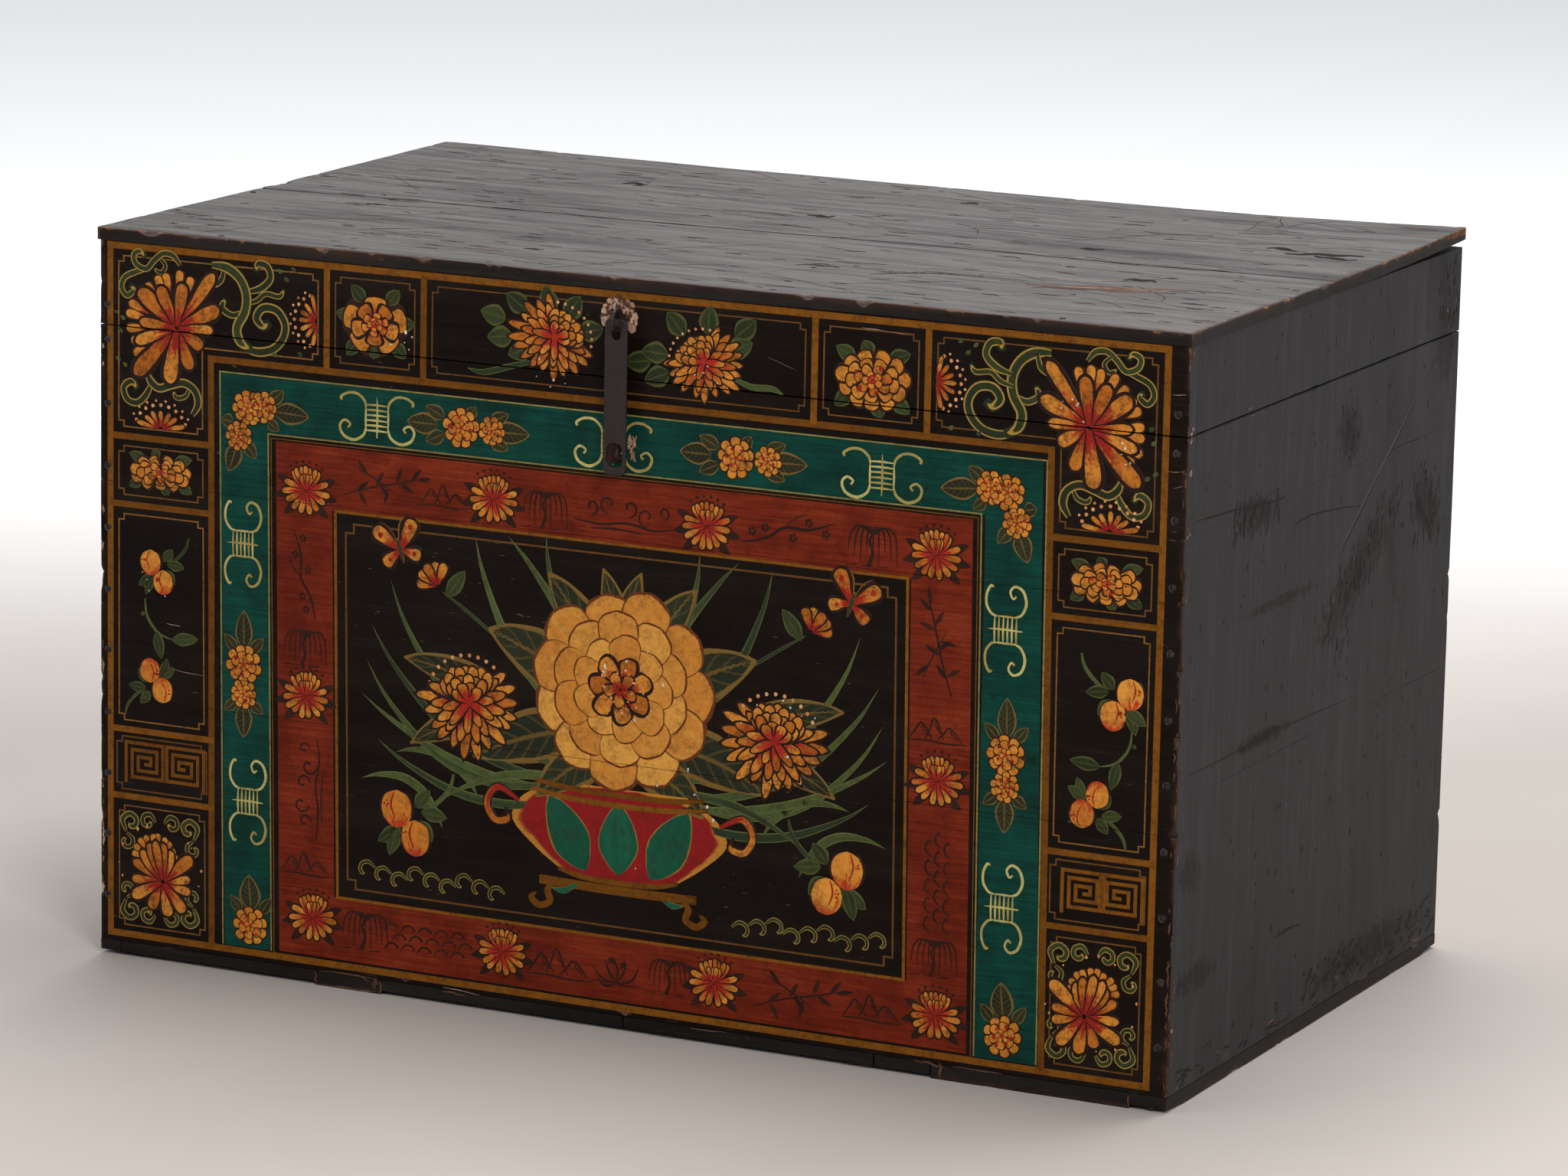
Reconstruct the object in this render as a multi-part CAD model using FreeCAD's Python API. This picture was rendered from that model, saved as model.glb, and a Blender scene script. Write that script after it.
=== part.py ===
"""Board chest with a hinged lid: nailed finger joints, an iron hasp in front and two iron hinges behind.

Sizes are in millimetres. The origin is the middle of the underside, +X to the right, +Y to the back, +Z up.
"""
import FreeCAD
import Part
import os

Vector = FreeCAD.Vector

# Box
width = 900.0
depth = 545.0
base_height = 496.0
wall = 15.0
finger_height = 24.0
joint_gap = 0.1
front_lower_course = 190.0
front_upper_course = 120.0
side_lower_course = 228.0
side_upper_course = 61.0

# Bottom boards run front to back. Their widths share out the whole width in these proportions.
bottom_thickness = 12.0
bottom_board_widths = (18.0, 175.0, 57.0, 208.0, 208.0, 46.0, 159.0, 29.0)
bottom_board_worn = (True, True, False, True, True, True, False, True)
worn_edge_height = 3.0
worn_edge_depth = 30.0

# Lid
rail_height = 65.5
top_thickness = 10.0
top_overhang = 1.5
top_seam_left = -32.0
top_seam_right = 0.0
top_seam_gap = 0.8

# Nails and bamboo edge dowels
nail_shank = 2.8
nail_head = 5.5
nail_head_thickness = 1.0
nail_tip = 4.0
nail_tip_width = 0.6
nail_play = 0.05
corner_nail = 38.0
bottom_nail = 34.0
top_nail = 26.0
hinge_nail = 12.0
nail_spacing = 130.0
nail_end_margin = 45.0
wide_board = 100.0
dowel_diameter = 5.0
dowel_length = 36.0
dowel_spacing = 180.0
dowel_play = 0.1

# Hasp: an eye in the lid, a strap that hangs on it and a staple in the box
eye_standoff = 11.5
eye_height = 45.0
eye_radius = 7.5
eye_wire = 3.6
eye_leg = 3.2
eye_leg_pitch = 3.5
eye_nail_margin = 60.0
strap_width = 18.6
strap_thickness = 2.2
strap_corner = 5.0
strap_crown = 1.0
strap_drop = 115.6
strap_seat_gap = 0.3
strap_hole_width = 7.0
strap_hole_height = 9.0
strap_hole_corner = 3.0
slot_drop = 100.4
slot_width = 13.0
slot_height = 18.0
slot_corner = 5.5
staple_wire = 2.8
staple_span = 10.0
staple_clearance = 0.5
leg_play = 0.15
clinch_gap = 0.3
clinch_length = 16.0

# Hinges
hinge_spread = 522.0
leaf_width = 46.0
leaf_length = 54.0
leaf_thickness = 2.0
leaf_nail_inset = 9.0
leaf_nail_low = 20.0
leaf_nail_high = 38.0
knuckle_radius = 4.5
knuckle_gap = 0.4
hinge_clearance = 0.4
pin_diameter = 4.4
pin_play = 0.05
pin_head = 7.0
pin_head_thickness = 1.5

# Planes and levels that several pieces share
left, right = -width / 2, width / 2
front, back = -depth / 2, depth / 2
rail_top = base_height + rail_height
eye_y = front - eye_standoff
eye_z = base_height + eye_height
staple_z = eye_z - slot_drop
hinge_y = back + knuckle_radius + hinge_clearance

AXIS_X = Vector(1, 0, 0)
AXIS_Y = Vector(0, 1, 0)
AXIS_Z = Vector(0, 0, 1)


def block(x, y, z):
    """Box between three (low, high) pairs."""
    low = Vector(x[0], y[0], z[0])
    return Part.makeBox(x[1] - x[0], y[1] - y[0], z[1] - z[0], low)


def plate(x, y, z, corner):
    """Upright plate facing the front, with its four corners rounded."""
    sheet = block(x, y, z)
    through = [edge for edge in sheet.Edges if abs(edge.tangentAt(edge.FirstParameter).y) > 0.5]
    return sheet.makeFillet(corner, through)


def disc(radius, centre, normal):
    """Round face, the section of a wire or rod."""
    return Part.Face(Part.Wire(Part.makeCircle(radius, centre, normal)))


def spread(low, high, pitch):
    """Even places between low and high, about pitch apart, half a step in from each end."""
    count = max(2, round((high - low) / pitch))
    step = (high - low) / count
    return [low + step * (k + 0.5) for k in range(count)]


def drill(board, holes):
    """The board with every hole that reaches it cut out."""
    near = [hole for hole in holes if board.BoundBox.intersect(hole.BoundBox)]
    return board.cut(near) if near else board


def nail(point, way, length, play=0.0):
    """Flat headed nail driven flush from a surface point; with play it is the nail's own hole."""
    start = point - way * play
    head = Part.makeCylinder(nail_head / 2 + play, nail_head_thickness + 2 * play, start, way)
    stem = length - nail_tip + play
    shank = Part.makeCylinder(nail_shank / 2 + play, stem, start, way)
    tip = Part.makeCone(nail_shank / 2 + play, nail_tip_width / 2, nail_tip, start + way * stem, way)
    return head.fuse([shank, tip]).removeSplitter()


def dowel(centre, way, play=0.0):
    """Edge dowel across a board seam; with play it is the dowel's own hole."""
    length = dowel_length + 2 * play
    return Part.makeCylinder(dowel_diameter / 2 + play, length, centre - way * (length / 2), way)


# Courses and corner fingers
finger_count = 2 * max(1, round((base_height - bottom_thickness) / (2 * finger_height)))
finger_pitch = (base_height - bottom_thickness) / finger_count
base_levels = [bottom_thickness + finger_pitch * k for k in range(finger_count + 1)]
lid_levels = [base_height, base_height + rail_height / 2, rail_top]


def fingers(levels, first):
    """Every second finger between the levels, counted from the bottom."""
    return list(zip(levels, levels[1:]))[first::2]


base_front_fingers = fingers(base_levels, 1)
base_side_fingers = fingers(base_levels, 0)
lid_front_fingers = fingers(lid_levels, 0)
lid_side_fingers = fingers(lid_levels, 1)


def courses(lower, upper):
    """Three board rows of a wall, with their seams on finger levels."""
    first = base_levels[max(1, round(lower / finger_pitch))]
    second = base_levels[finger_count - max(1, round(upper / finger_pitch))]
    return {
        "lower": (bottom_thickness, first),
        "middle": (first, second),
        "upper": (second, base_height),
    }


def long_board(y, course, side_fingers):
    """Front or back board, its ends cut where the side boards' fingers pass."""
    board = block((left, right), y, course)
    reach = wall + joint_gap
    cuts = []
    for low, high in side_fingers:
        rows = (low - joint_gap, high + joint_gap)
        cuts.append(block((left, left + reach), y, rows))
        cuts.append(block((right - reach, right), y, rows))
    return drill(board, cuts)


def side_board(x, course, front_fingers):
    """Left or right board, its ends cut where the front and back boards' fingers pass."""
    board = block(x, (front, back), course)
    reach = wall + joint_gap
    cuts = []
    for low, high in front_fingers:
        rows = (low - joint_gap, high + joint_gap)
        cuts.append(block(x, (front, front + reach), rows))
        cuts.append(block(x, (back - reach, back), rows))
    return drill(board, cuts)


long_walls = {"front": (front, front + wall), "back": (back - wall, back)}
side_walls = {"left": (left, left + wall), "right": (right - wall, right)}
long_courses = courses(front_lower_course, front_upper_course)
side_courses = courses(side_lower_course, side_upper_course)


# Nails and dowels, each as the arguments of its own maker so that piece and hole agree
def corner_nail_places(front_fingers):
    """Through each front and back finger into the end of the side board behind it."""
    places = []
    for x in (left + wall / 2, right - wall / 2):
        for low, high in front_fingers:
            middle = (low + high) / 2
            places.append((Vector(x, front, middle), AXIS_Y, corner_nail))
            places.append((Vector(x, back, middle), -AXIS_Y, corner_nail))
    return places


bottom_scale = width / sum(bottom_board_widths)
bottom_edges = [left + bottom_scale * sum(bottom_board_widths[:k]) for k in range(len(bottom_board_widths) + 1)]


def bottom_nail_places():
    """Up through the bottom boards into the walls' lower edges."""
    places = []
    inner_boards = list(zip(bottom_edges, bottom_edges[1:], bottom_board_worn))[1:-1]
    for low, high, worn in inner_boards:
        middle, quarter = (low + high) / 2, (high - low) / 4
        across = (middle - quarter, middle + quarter) if high - low > wide_board else (middle,)
        level = worn_edge_height if worn else 0
        for x in across:
            for y in (front + wall / 2, back - wall / 2):
                places.append((Vector(x, y, level), AXIS_Z, bottom_nail))
    for y in spread(front + nail_end_margin, back - nail_end_margin, nail_spacing):
        for x in (left + wall / 2, right - wall / 2):
            places.append((Vector(x, y, 0), AXIS_Z, bottom_nail))
    return places


def top_nail_places():
    """Down through the lid boards into the rails, clear of the hasp's eye."""
    lid_top = rail_top + top_thickness
    places = []
    runs = spread(left + nail_end_margin, -eye_nail_margin, nail_spacing)
    runs += spread(eye_nail_margin, right - nail_end_margin, nail_spacing)
    for x in runs:
        for y in (front + wall / 2, back - wall / 2):
            places.append((Vector(x, y, lid_top), -AXIS_Z, top_nail))
    for y in spread(front + nail_end_margin, back - nail_end_margin, nail_spacing):
        for x in (left + wall / 2, right - wall / 2):
            places.append((Vector(x, y, lid_top), -AXIS_Z, top_nail))
    return places


def hinge_nail_places(way_up):
    """Through a hinge leaf into the back, above the axis for the lid and below it for the box."""
    places = []
    for middle in (-hinge_spread / 2, hinge_spread / 2):
        for x in (middle - leaf_width / 2 + leaf_nail_inset, middle + leaf_width / 2 - leaf_nail_inset):
            for rise in (leaf_nail_low, leaf_nail_high):
                point = Vector(x, back + leaf_thickness, base_height + way_up * rise)
                places.append((point, -AXIS_Y, hinge_nail))
    return places


def wall_dowel_places():
    """Across the seams of the four walls, in the middle of their thickness."""
    places = []
    for y in long_walls.values():
        for seam in long_courses["middle"]:
            for x in spread(left, right, dowel_spacing):
                places.append((Vector(x, sum(y) / 2, seam), AXIS_Z))
    for x in side_walls.values():
        for seam in side_courses["middle"]:
            for y in spread(front, back, dowel_spacing):
                places.append((Vector(sum(x) / 2, y, seam), AXIS_Z))
    return places


def top_seam(x):
    """Place of the slanting seam between the two lid boards."""
    return top_seam_left + (top_seam_right - top_seam_left) * (x - left) / width


def top_dowel_places():
    """Across the seam of the lid boards."""
    height = rail_top + top_thickness / 2
    return [(Vector(x, top_seam(x), height), AXIS_Y) for x in spread(left, right, dowel_spacing)]


base_corner_places = corner_nail_places(base_front_fingers)
lid_corner_places = corner_nail_places(lid_front_fingers)
base_hinge_places = hinge_nail_places(-1)
lid_hinge_places = hinge_nail_places(1)
base_nail_places = base_corner_places + bottom_nail_places() + base_hinge_places
lid_nail_places = lid_corner_places + top_nail_places() + lid_hinge_places


# Hasp
def clinched_leg(radius, start, turn):
    """Wire from a point in front, straight through the wall and turned over flat on its inside."""
    inside = Vector(start.x, front + wall, start.z)
    bend = radius + clinch_gap
    run = Part.makeCylinder(radius, inside.y - start.y, start, AXIS_Y)
    pivot = inside + AXIS_X * (turn * bend)
    elbow = disc(radius, inside, AXIS_Y).revolve(pivot, AXIS_Z * -turn, 90)
    flat = Part.makeCylinder(radius, clinch_length, pivot + AXIS_Y * bend, AXIS_X * turn)
    return [run, elbow, flat]


def leg_slit(radius, starts):
    """Chiselled slit through the wall that both legs share."""
    half = radius + leg_play
    levels = [start.z for start in starts.values()]
    return block((-half, half), (front, front + wall), (min(levels) - half, max(levels) + half))


eye_starts = {turn: Vector(0, eye_y + eye_radius, eye_z + turn * eye_leg_pitch / 2) for turn in (1, -1)}
staple_reach = eye_standoff - strap_thickness / 2 - staple_clearance
staple_arc_y = front - (staple_reach - staple_span / 2 - staple_wire / 2)
staple_starts = {turn: Vector(0, staple_arc_y, staple_z + turn * staple_span / 2) for turn in (1, -1)}


def hasp_eye():
    """Wire ring standing out of the lid on two legs."""
    ring = Part.makeTorus(eye_radius, eye_wire / 2, Vector(0, eye_y, eye_z), AXIS_X)
    legs = []
    for turn, start in eye_starts.items():
        legs += clinched_leg(eye_leg / 2, start, turn)
    return ring.fuse(legs).removeSplitter()


def lock_staple():
    """Wire loop standing out of the box, for the strap's slot and a padlock."""
    arch = disc(staple_wire / 2, staple_starts[1], AXIS_Y)
    loop = arch.revolve(Vector(0, staple_arc_y, staple_z), AXIS_X, 180)
    legs = []
    for turn, start in staple_starts.items():
        legs += clinched_leg(staple_wire / 2, start, turn)
    return loop.fuse(legs).removeSplitter()


def hasp_strap():
    """Flat strap threaded on the eye's lowest stretch of wire, with a slot near its lower end."""
    thick = (eye_y - strap_thickness / 2, eye_y + strap_thickness / 2)
    half = strap_width / 2
    strap = plate((-half, half), thick, (eye_z - strap_drop, eye_z + strap_crown), strap_corner)
    seat = eye_z - eye_radius + eye_wire / 2 + strap_seat_gap
    hole_x = (-strap_hole_width / 2, strap_hole_width / 2)
    hole = plate(hole_x, thick, (seat - strap_hole_height, seat), strap_hole_corner)
    slot_x = (-slot_width / 2, slot_width / 2)
    slot = plate(slot_x, thick, (staple_z - slot_height / 2, staple_z + slot_height / 2), slot_corner)
    return strap.cut([hole, slot])


# Hinges
def hinge_leaf(middle, way_up, knuckles):
    """Leaf on the back with its knuckles on the hinge axis; way_up is 1 on the lid and -1 on the box."""
    sheet_y = (back, back + leaf_thickness)
    axis_rise = knuckle_radius + hinge_clearance
    rows = sorted((base_height + way_up * axis_rise, base_height + way_up * leaf_length))
    pieces = [block((middle - leaf_width / 2, middle + leaf_width / 2), sheet_y, rows)]
    for low, high in knuckles:
        x = (middle + low, middle + high)
        tongue = sorted((base_height, base_height + way_up * axis_rise))
        pieces.append(block(x, sheet_y, tongue))
        pieces.append(Part.makeCylinder(knuckle_radius, high - low, Vector(x[0], hinge_y, base_height), AXIS_X))
    leaf = pieces[0].fuse(pieces[1:]).removeSplitter()
    bore_start = Vector(middle - leaf_width, hinge_y, base_height)
    bore = Part.makeCylinder(pin_diameter / 2 + pin_play, 2 * leaf_width, bore_start, AXIS_X)
    return leaf.cut(bore)


def hinge_pin(middle):
    """Pin through the three knuckles with a flat head at each end."""
    half = leaf_width / 2 + hinge_clearance
    start = Vector(middle - half, hinge_y, base_height)
    end = Vector(middle + half, hinge_y, base_height)
    stem = Part.makeCylinder(pin_diameter / 2, 2 * half, start, AXIS_X)
    heads = [Part.makeCylinder(pin_head / 2, pin_head_thickness, start, -AXIS_X)]
    heads.append(Part.makeCylinder(pin_head / 2, pin_head_thickness, end, AXIS_X))
    return stem.fuse(heads).removeSplitter()


inner_knuckle = leaf_width / 6 - knuckle_gap / 2
outer_knuckle = leaf_width / 6 + knuckle_gap / 2
lid_knuckles = [(-inner_knuckle, inner_knuckle)]
base_knuckles = [(-leaf_width / 2, -outer_knuckle), (outer_knuckle, leaf_width / 2)]


# Holes
base_holes = [nail(*place, play=nail_play) for place in base_nail_places]
base_holes += [dowel(*place, play=dowel_play) for place in wall_dowel_places()]
base_holes.append(leg_slit(staple_wire / 2, staple_starts))
lid_holes = [nail(*place, play=nail_play) for place in lid_nail_places]
lid_holes += [dowel(*place, play=dowel_play) for place in top_dowel_places()]
lid_holes.append(leg_slit(eye_leg / 2, eye_starts))

# Pieces
nodes = {}
for wall_name, y in long_walls.items():
    for row, course in long_courses.items():
        board = long_board(y, course, base_side_fingers)
        nodes[f"base_{wall_name}_{row}"] = drill(board, base_holes)
    rail = long_board(y, (base_height, rail_top), lid_side_fingers)
    nodes[f"lid_{wall_name}_rail"] = drill(rail, lid_holes)

for wall_name, x in side_walls.items():
    for row, course in side_courses.items():
        board = side_board(x, course, base_front_fingers)
        nodes[f"base_{wall_name}_{row}"] = drill(board, base_holes)
    rail = side_board(x, (base_height, rail_top), lid_front_fingers)
    nodes[f"lid_{wall_name}_rail"] = drill(rail, lid_holes)

for number, worn in enumerate(bottom_board_worn, start=1):
    x = (bottom_edges[number - 1], bottom_edges[number])
    board = block(x, (front, back), (0, bottom_thickness))
    if worn:
        for y in ((front, front + worn_edge_depth), (back - worn_edge_depth, back)):
            board = board.cut(block(x, y, (0, worn_edge_height)))
    nodes[f"bottom_board_{number}"] = drill(board, base_holes)


def lid_board(edge, gap):
    """Lid board from an outer edge in to the slanting seam."""
    low, high = left - top_overhang, right + top_overhang
    corners = [
        Vector(low, edge, rail_top),
        Vector(high, edge, rail_top),
        Vector(high, top_seam(high) + gap, rail_top),
        Vector(low, top_seam(low) + gap, rail_top),
    ]
    outline = Part.makePolygon(corners + corners[:1])
    return Part.Face(outline).extrude(AXIS_Z * top_thickness)


nodes["lid_top_front"] = drill(lid_board(front - top_overhang, -top_seam_gap / 2), lid_holes)
nodes["lid_top_rear"] = drill(lid_board(back + top_overhang, top_seam_gap / 2), lid_holes)

for side, middle in (("left", -hinge_spread / 2), ("right", hinge_spread / 2)):
    nodes[f"hinge_{side}_base_leaf"] = drill(hinge_leaf(middle, -1, base_knuckles), base_holes)
    nodes[f"hinge_{side}_lid_leaf"] = drill(hinge_leaf(middle, 1, lid_knuckles), lid_holes)
    nodes[f"hinge_{side}_pin"] = hinge_pin(middle)

nodes["hasp_eye"] = hasp_eye()
nodes["hasp_strap"] = hasp_strap()
nodes["lock_staple"] = lock_staple()

nail_groups = {
    "base_corner_nails": base_corner_places,
    "bottom_nails": bottom_nail_places(),
    "base_hinge_nails": base_hinge_places,
    "lid_corner_nails": lid_corner_places,
    "lid_top_nails": top_nail_places(),
    "lid_hinge_nails": lid_hinge_places,
}
for name, places in nail_groups.items():
    nodes[name] = Part.makeCompound([nail(*place) for place in places])
nodes["wall_dowels"] = Part.makeCompound([dowel(*place) for place in wall_dowel_places()])
nodes["lid_top_dowels"] = Part.makeCompound([dowel(*place) for place in top_dowel_places()])

os.makedirs("parts", exist_ok=True)
for name, shape in nodes.items():
    shape.exportStep(f"parts/{name}.step")
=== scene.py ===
"""Painted storage trunk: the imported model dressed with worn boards, a painted front, nails and ironwork."""
import math
import random

import bmesh
import bpy
from bpy.props import FloatProperty, FloatVectorProperty, IntProperty, PointerProperty
from mathutils import Matrix, Vector, noise


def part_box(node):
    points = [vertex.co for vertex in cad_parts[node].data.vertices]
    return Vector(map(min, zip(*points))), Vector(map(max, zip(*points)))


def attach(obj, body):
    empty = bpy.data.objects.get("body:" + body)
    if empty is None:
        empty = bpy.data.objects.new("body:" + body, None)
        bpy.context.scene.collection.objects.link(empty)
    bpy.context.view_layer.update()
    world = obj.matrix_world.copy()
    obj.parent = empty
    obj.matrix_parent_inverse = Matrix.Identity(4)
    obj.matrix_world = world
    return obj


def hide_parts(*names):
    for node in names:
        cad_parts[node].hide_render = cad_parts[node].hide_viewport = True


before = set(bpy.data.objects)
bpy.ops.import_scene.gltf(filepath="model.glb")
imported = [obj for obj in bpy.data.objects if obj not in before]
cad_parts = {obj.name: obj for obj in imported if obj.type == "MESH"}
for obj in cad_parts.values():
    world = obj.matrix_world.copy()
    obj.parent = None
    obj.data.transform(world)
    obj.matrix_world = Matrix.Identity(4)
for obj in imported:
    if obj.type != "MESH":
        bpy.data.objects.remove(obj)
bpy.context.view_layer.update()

bl_info = {
    "name": "Painted trunk",
    "version": (1, 0, 0),
    "blender": (4, 5, 0),
    "location": "View3D > Sidebar > Trunk",
    "description": "Dresses the packed trunk with worn boards, a painted front, nails and ironwork",
    "category": "Object",
}

MM = 0.001

# Lengths of the work, in metres
LID_SEAM = 0.8 * MM
BOTTOM_SLIT = 0.6 * MM
BACK_ARRIS = 0.5 * MM
DEEP_WEAR = 1.6 * MM
WORN_SHORT = 3 * MM
WORN_FROM = 242.5 * MM
WORN_RUN = 7.5 * MM
NAIL_HEAD = 2.7 * MM
NAIL_PROUD = 0.55 * MM
NAIL_SUNK = 0.7 * MM
BOND = 0.08 * MM
FORGED_EDGE = 6 * MM
FLOOR_REACH = 14

# Bottom boards that still stand on the floor, and those at the ends of the row
STANDING = (3, 7)
OUTERMOST = (1, 8)

# Places on the front in millimetres, and the layers of paint losses and of marks in the lacquer
FRAME_SIDE = 441
FRAME_TOP = 480
RIGHT_ARRIS = 447.6
LEFT_ARRIS = -447.8
LOSS_LAYER = 13.6
MARK_LAYER = 0.2


class TrunkSizes(bpy.types.PropertyGroup):
    """Sizes of the box and of the wear on its boards."""
    width: FloatProperty(name="Width", description="Across the front", default=0.9, unit="LENGTH")
    depth: FloatProperty(name="Depth", description="Front to back", default=0.545, unit="LENGTH")
    height: FloatProperty(name="Height", description="Floor to the top of the lid", default=0.5715,
                          unit="LENGTH")
    base_height: FloatProperty(name="Box height", description="Floor to the lid's parting line",
                               default=0.496, unit="LENGTH")
    wall: FloatProperty(name="Wall", description="Thickness of the wall boards", default=0.015, unit="LENGTH")
    bottom: FloatProperty(name="Bottom", description="Thickness of the bottom boards", default=0.012,
                          unit="LENGTH")
    finger: FloatProperty(name="Finger", description="Height of one corner finger", default=0.0242,
                          unit="LENGTH")
    top: FloatProperty(name="Top", description="Thickness of the lid's top boards", default=0.01,
                       unit="LENGTH")
    arris: FloatProperty(name="Arris", description="Usual rounding of a worn outer edge", default=0.0009,
                         unit="LENGTH")
    chip: FloatProperty(name="Chip", description="Depth of the larger chips in an outer edge", default=0.009,
                        unit="LENGTH")
    seam_gap: FloatProperty(name="Seam gap", description="Shrinkage of a board at each seam", default=0.00005,
                            unit="LENGTH")
    parting_gap: FloatProperty(name="Parting gap", description="Wear of each edge at the lid's parting line",
                               default=0.00045, unit="LENGTH")
    lifted: FloatProperty(name="Lifted corner", description="Rise of the lid's right rear corner",
                          default=0.0055, unit="LENGTH")


class PaintSizes(bpy.types.PropertyGroup):
    """How the paint lies on the front."""
    thickness: FloatProperty(name="Paint thickness", description="One coat of paint", default=0.00013,
                             unit="LENGTH")
    layer: FloatProperty(name="Layer step", description="Rise from one coat to the next", default=0.00005,
                         unit="LENGTH")
    lean: FloatProperty(name="Lean", description="Drift of the ruled lines to the right towards the floor",
                        default=0.007, unit="LENGTH")
    parting: FloatProperty(name="Parting",
                           description="Half the crack in the paint at the lid's parting line",
                           default=0.0005, unit="LENGTH")
    crack: FloatProperty(name="Seam crack", description="Half the crack in the paint at a seam of the front",
                         default=0.00018, unit="LENGTH")
    smoothness: IntProperty(name="Smoothness", description="Steps between two points of a stroke", default=4)
    seed: IntProperty(name="Seed", description="Seed of the hand's unevenness", default=11)


class StageSizes(bpy.types.PropertyGroup):
    """Camera, light and floor."""
    camera_place: FloatVectorProperty(name="Camera place", description="Where the camera stands",
                                      default=(2.2254, -4.5761, 1.3459), subtype="XYZ", unit="LENGTH")
    camera_turn: FloatVectorProperty(name="Camera turn", description="Rotation of the camera",
                                     default=(1.36624, -0.019715, 0.456264), subtype="EULER")
    lens: FloatProperty(name="Lens", description="Focal length in millimetres", default=153.5)
    key: FloatProperty(name="Key light", description="Power of the main light in watts", default=85.0)
    fill: FloatProperty(name="Fill light", description="Strength of the even light all round", default=0.34)


# Shading and geometry graphs

class Wire:
    """One output of a node graph. Arithmetic on it adds Math nodes."""

    def __init__(self, graph, socket):
        self.graph = graph
        self.socket = socket

    def part(self, name):
        return Wire(self.graph, self.socket.node.outputs[name])

    def maths(self, kind, *others):
        return self.graph.maths(kind, self, *others)

    def __add__(self, other):
        return self.maths("ADD", other)

    def __sub__(self, other):
        return self.maths("SUBTRACT", other)

    def __rsub__(self, other):
        return self.graph.maths("SUBTRACT", other, self)

    def __mul__(self, other):
        return self.maths("MULTIPLY", other)

    def __truediv__(self, other):
        return self.maths("DIVIDE", other)

    def __abs__(self):
        return self.maths("ABSOLUTE")

    def low(self, other):
        return self.maths("MINIMUM", other)

    def high(self, other):
        return self.maths("MAXIMUM", other)

    def ramp(self, start, end):
        """Eases from 0 at start to 1 at end."""
        return self.graph.node("ShaderNodeMapRange", {"interpolation_type": "SMOOTHSTEP"},
                               {0: self, 1: start, 2: end})

    __radd__ = __add__


class Graph:
    """A node tree under construction."""

    def __init__(self, tree):
        self.tree = tree

    def node(self, kind, settings=None, sockets=None, out=0):
        made = self.tree.nodes.new(kind)
        for name, value in (settings or {}).items():
            setattr(made, name, value)
        for name, value in (sockets or {}).items():
            if isinstance(value, Wire):
                self.tree.links.new(value.socket, made.inputs[name])
            else:
                made.inputs[name].default_value = value
        return Wire(self, made.outputs[out] if made.outputs else None)

    def maths(self, kind, *values):
        return self.node("ShaderNodeMath", {"operation": kind}, dict(enumerate(values)))

    def close(self, shape, material):
        """Ends a geometry tree with real faces in one material."""
        shape = self.node("GeometryNodeRealizeInstances", {}, {"Geometry": shape})
        shape = self.node("GeometryNodeSetMaterial", {}, {"Geometry": shape, "Material": material})
        self.node("NodeGroupOutput", {}, {"Geometry": shape})
        return self.tree


class Finish(Graph):
    """A material under construction, in the model's own metres."""

    def __init__(self, name):
        self.material = bpy.data.materials.new(name)
        self.material.use_nodes = True
        super().__init__(self.material.node_tree)
        self.tree.nodes.clear()
        self.place = self.node("ShaderNodeTexCoord").part("Object")

    def axes(self):
        split = self.node("ShaderNodeSeparateXYZ", {}, {0: self.place})
        return split, split.part("Y"), split.part("Z")

    def spread(self, size, stretch, shift):
        scale = tuple(1 / (size * s) for s in stretch)
        return self.node("ShaderNodeMapping", {},
                         {"Vector": self.place, "Location": (shift, shift * 0.7, -shift), "Scale": scale})

    def noise(self, size, detail, rough, stretch=(1, 1, 1), shift=0.0, vector=None):
        """Cloudy noise with lumps of about this size."""
        vector = vector or self.spread(size, stretch, shift)
        return self.node("ShaderNodeTexNoise", {},
                         {"Vector": vector, "Scale": 1.0, "Detail": detail, "Roughness": rough})

    def crackle(self, size, shift):
        """Distance from the cracks of a dried coat."""
        return self.node("ShaderNodeTexVoronoi", {"feature": "DISTANCE_TO_EDGE"},
                         {"Vector": self.spread(size, (1, 1, 1), shift), "Scale": 1.0})

    def value(self, name):
        return self.node("ShaderNodeAttribute", {"attribute_name": name}).part("Fac")

    def mix(self, share, first, second):
        return self.node("ShaderNodeMix", {"data_type": "RGBA"}, {0: share, 6: first, 7: second}, 2)

    def done(self, colour, rough, height=None, depth=0.0003, **constants):
        sockets = {"Base Color": colour, "Roughness": rough}
        sockets.update({name.replace("_", " "): value for name, value in constants.items()})
        if height is not None:
            bump = {"Strength": 1.0, "Distance": depth, "Height": height}
            sockets["Normal"] = self.node("ShaderNodeBump", {}, bump)
        skin = self.node("ShaderNodeBsdfPrincipled", {}, sockets)
        self.node("ShaderNodeOutputMaterial", {}, {"Surface": skin})
        return self.material


def tint(red, green, blue):
    """Screen colour, 0 to 255, as the shader's own colour."""
    share = [c / 255 for c in (red, green, blue)]
    return (*[c / 12.92 if c <= 0.04045 else ((c + 0.055) / 1.055) ** 2.4 for c in share], 1.0)


MADE = {}


def finish(name):
    """The material of that name, made on first use."""
    if name not in MADE:
        maker, *values = FINISHES[name]
        named = values.pop() if isinstance(values[-1], dict) else {}
        MADE[name] = maker(name, *values, **named)
    return MADE[name]


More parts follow.
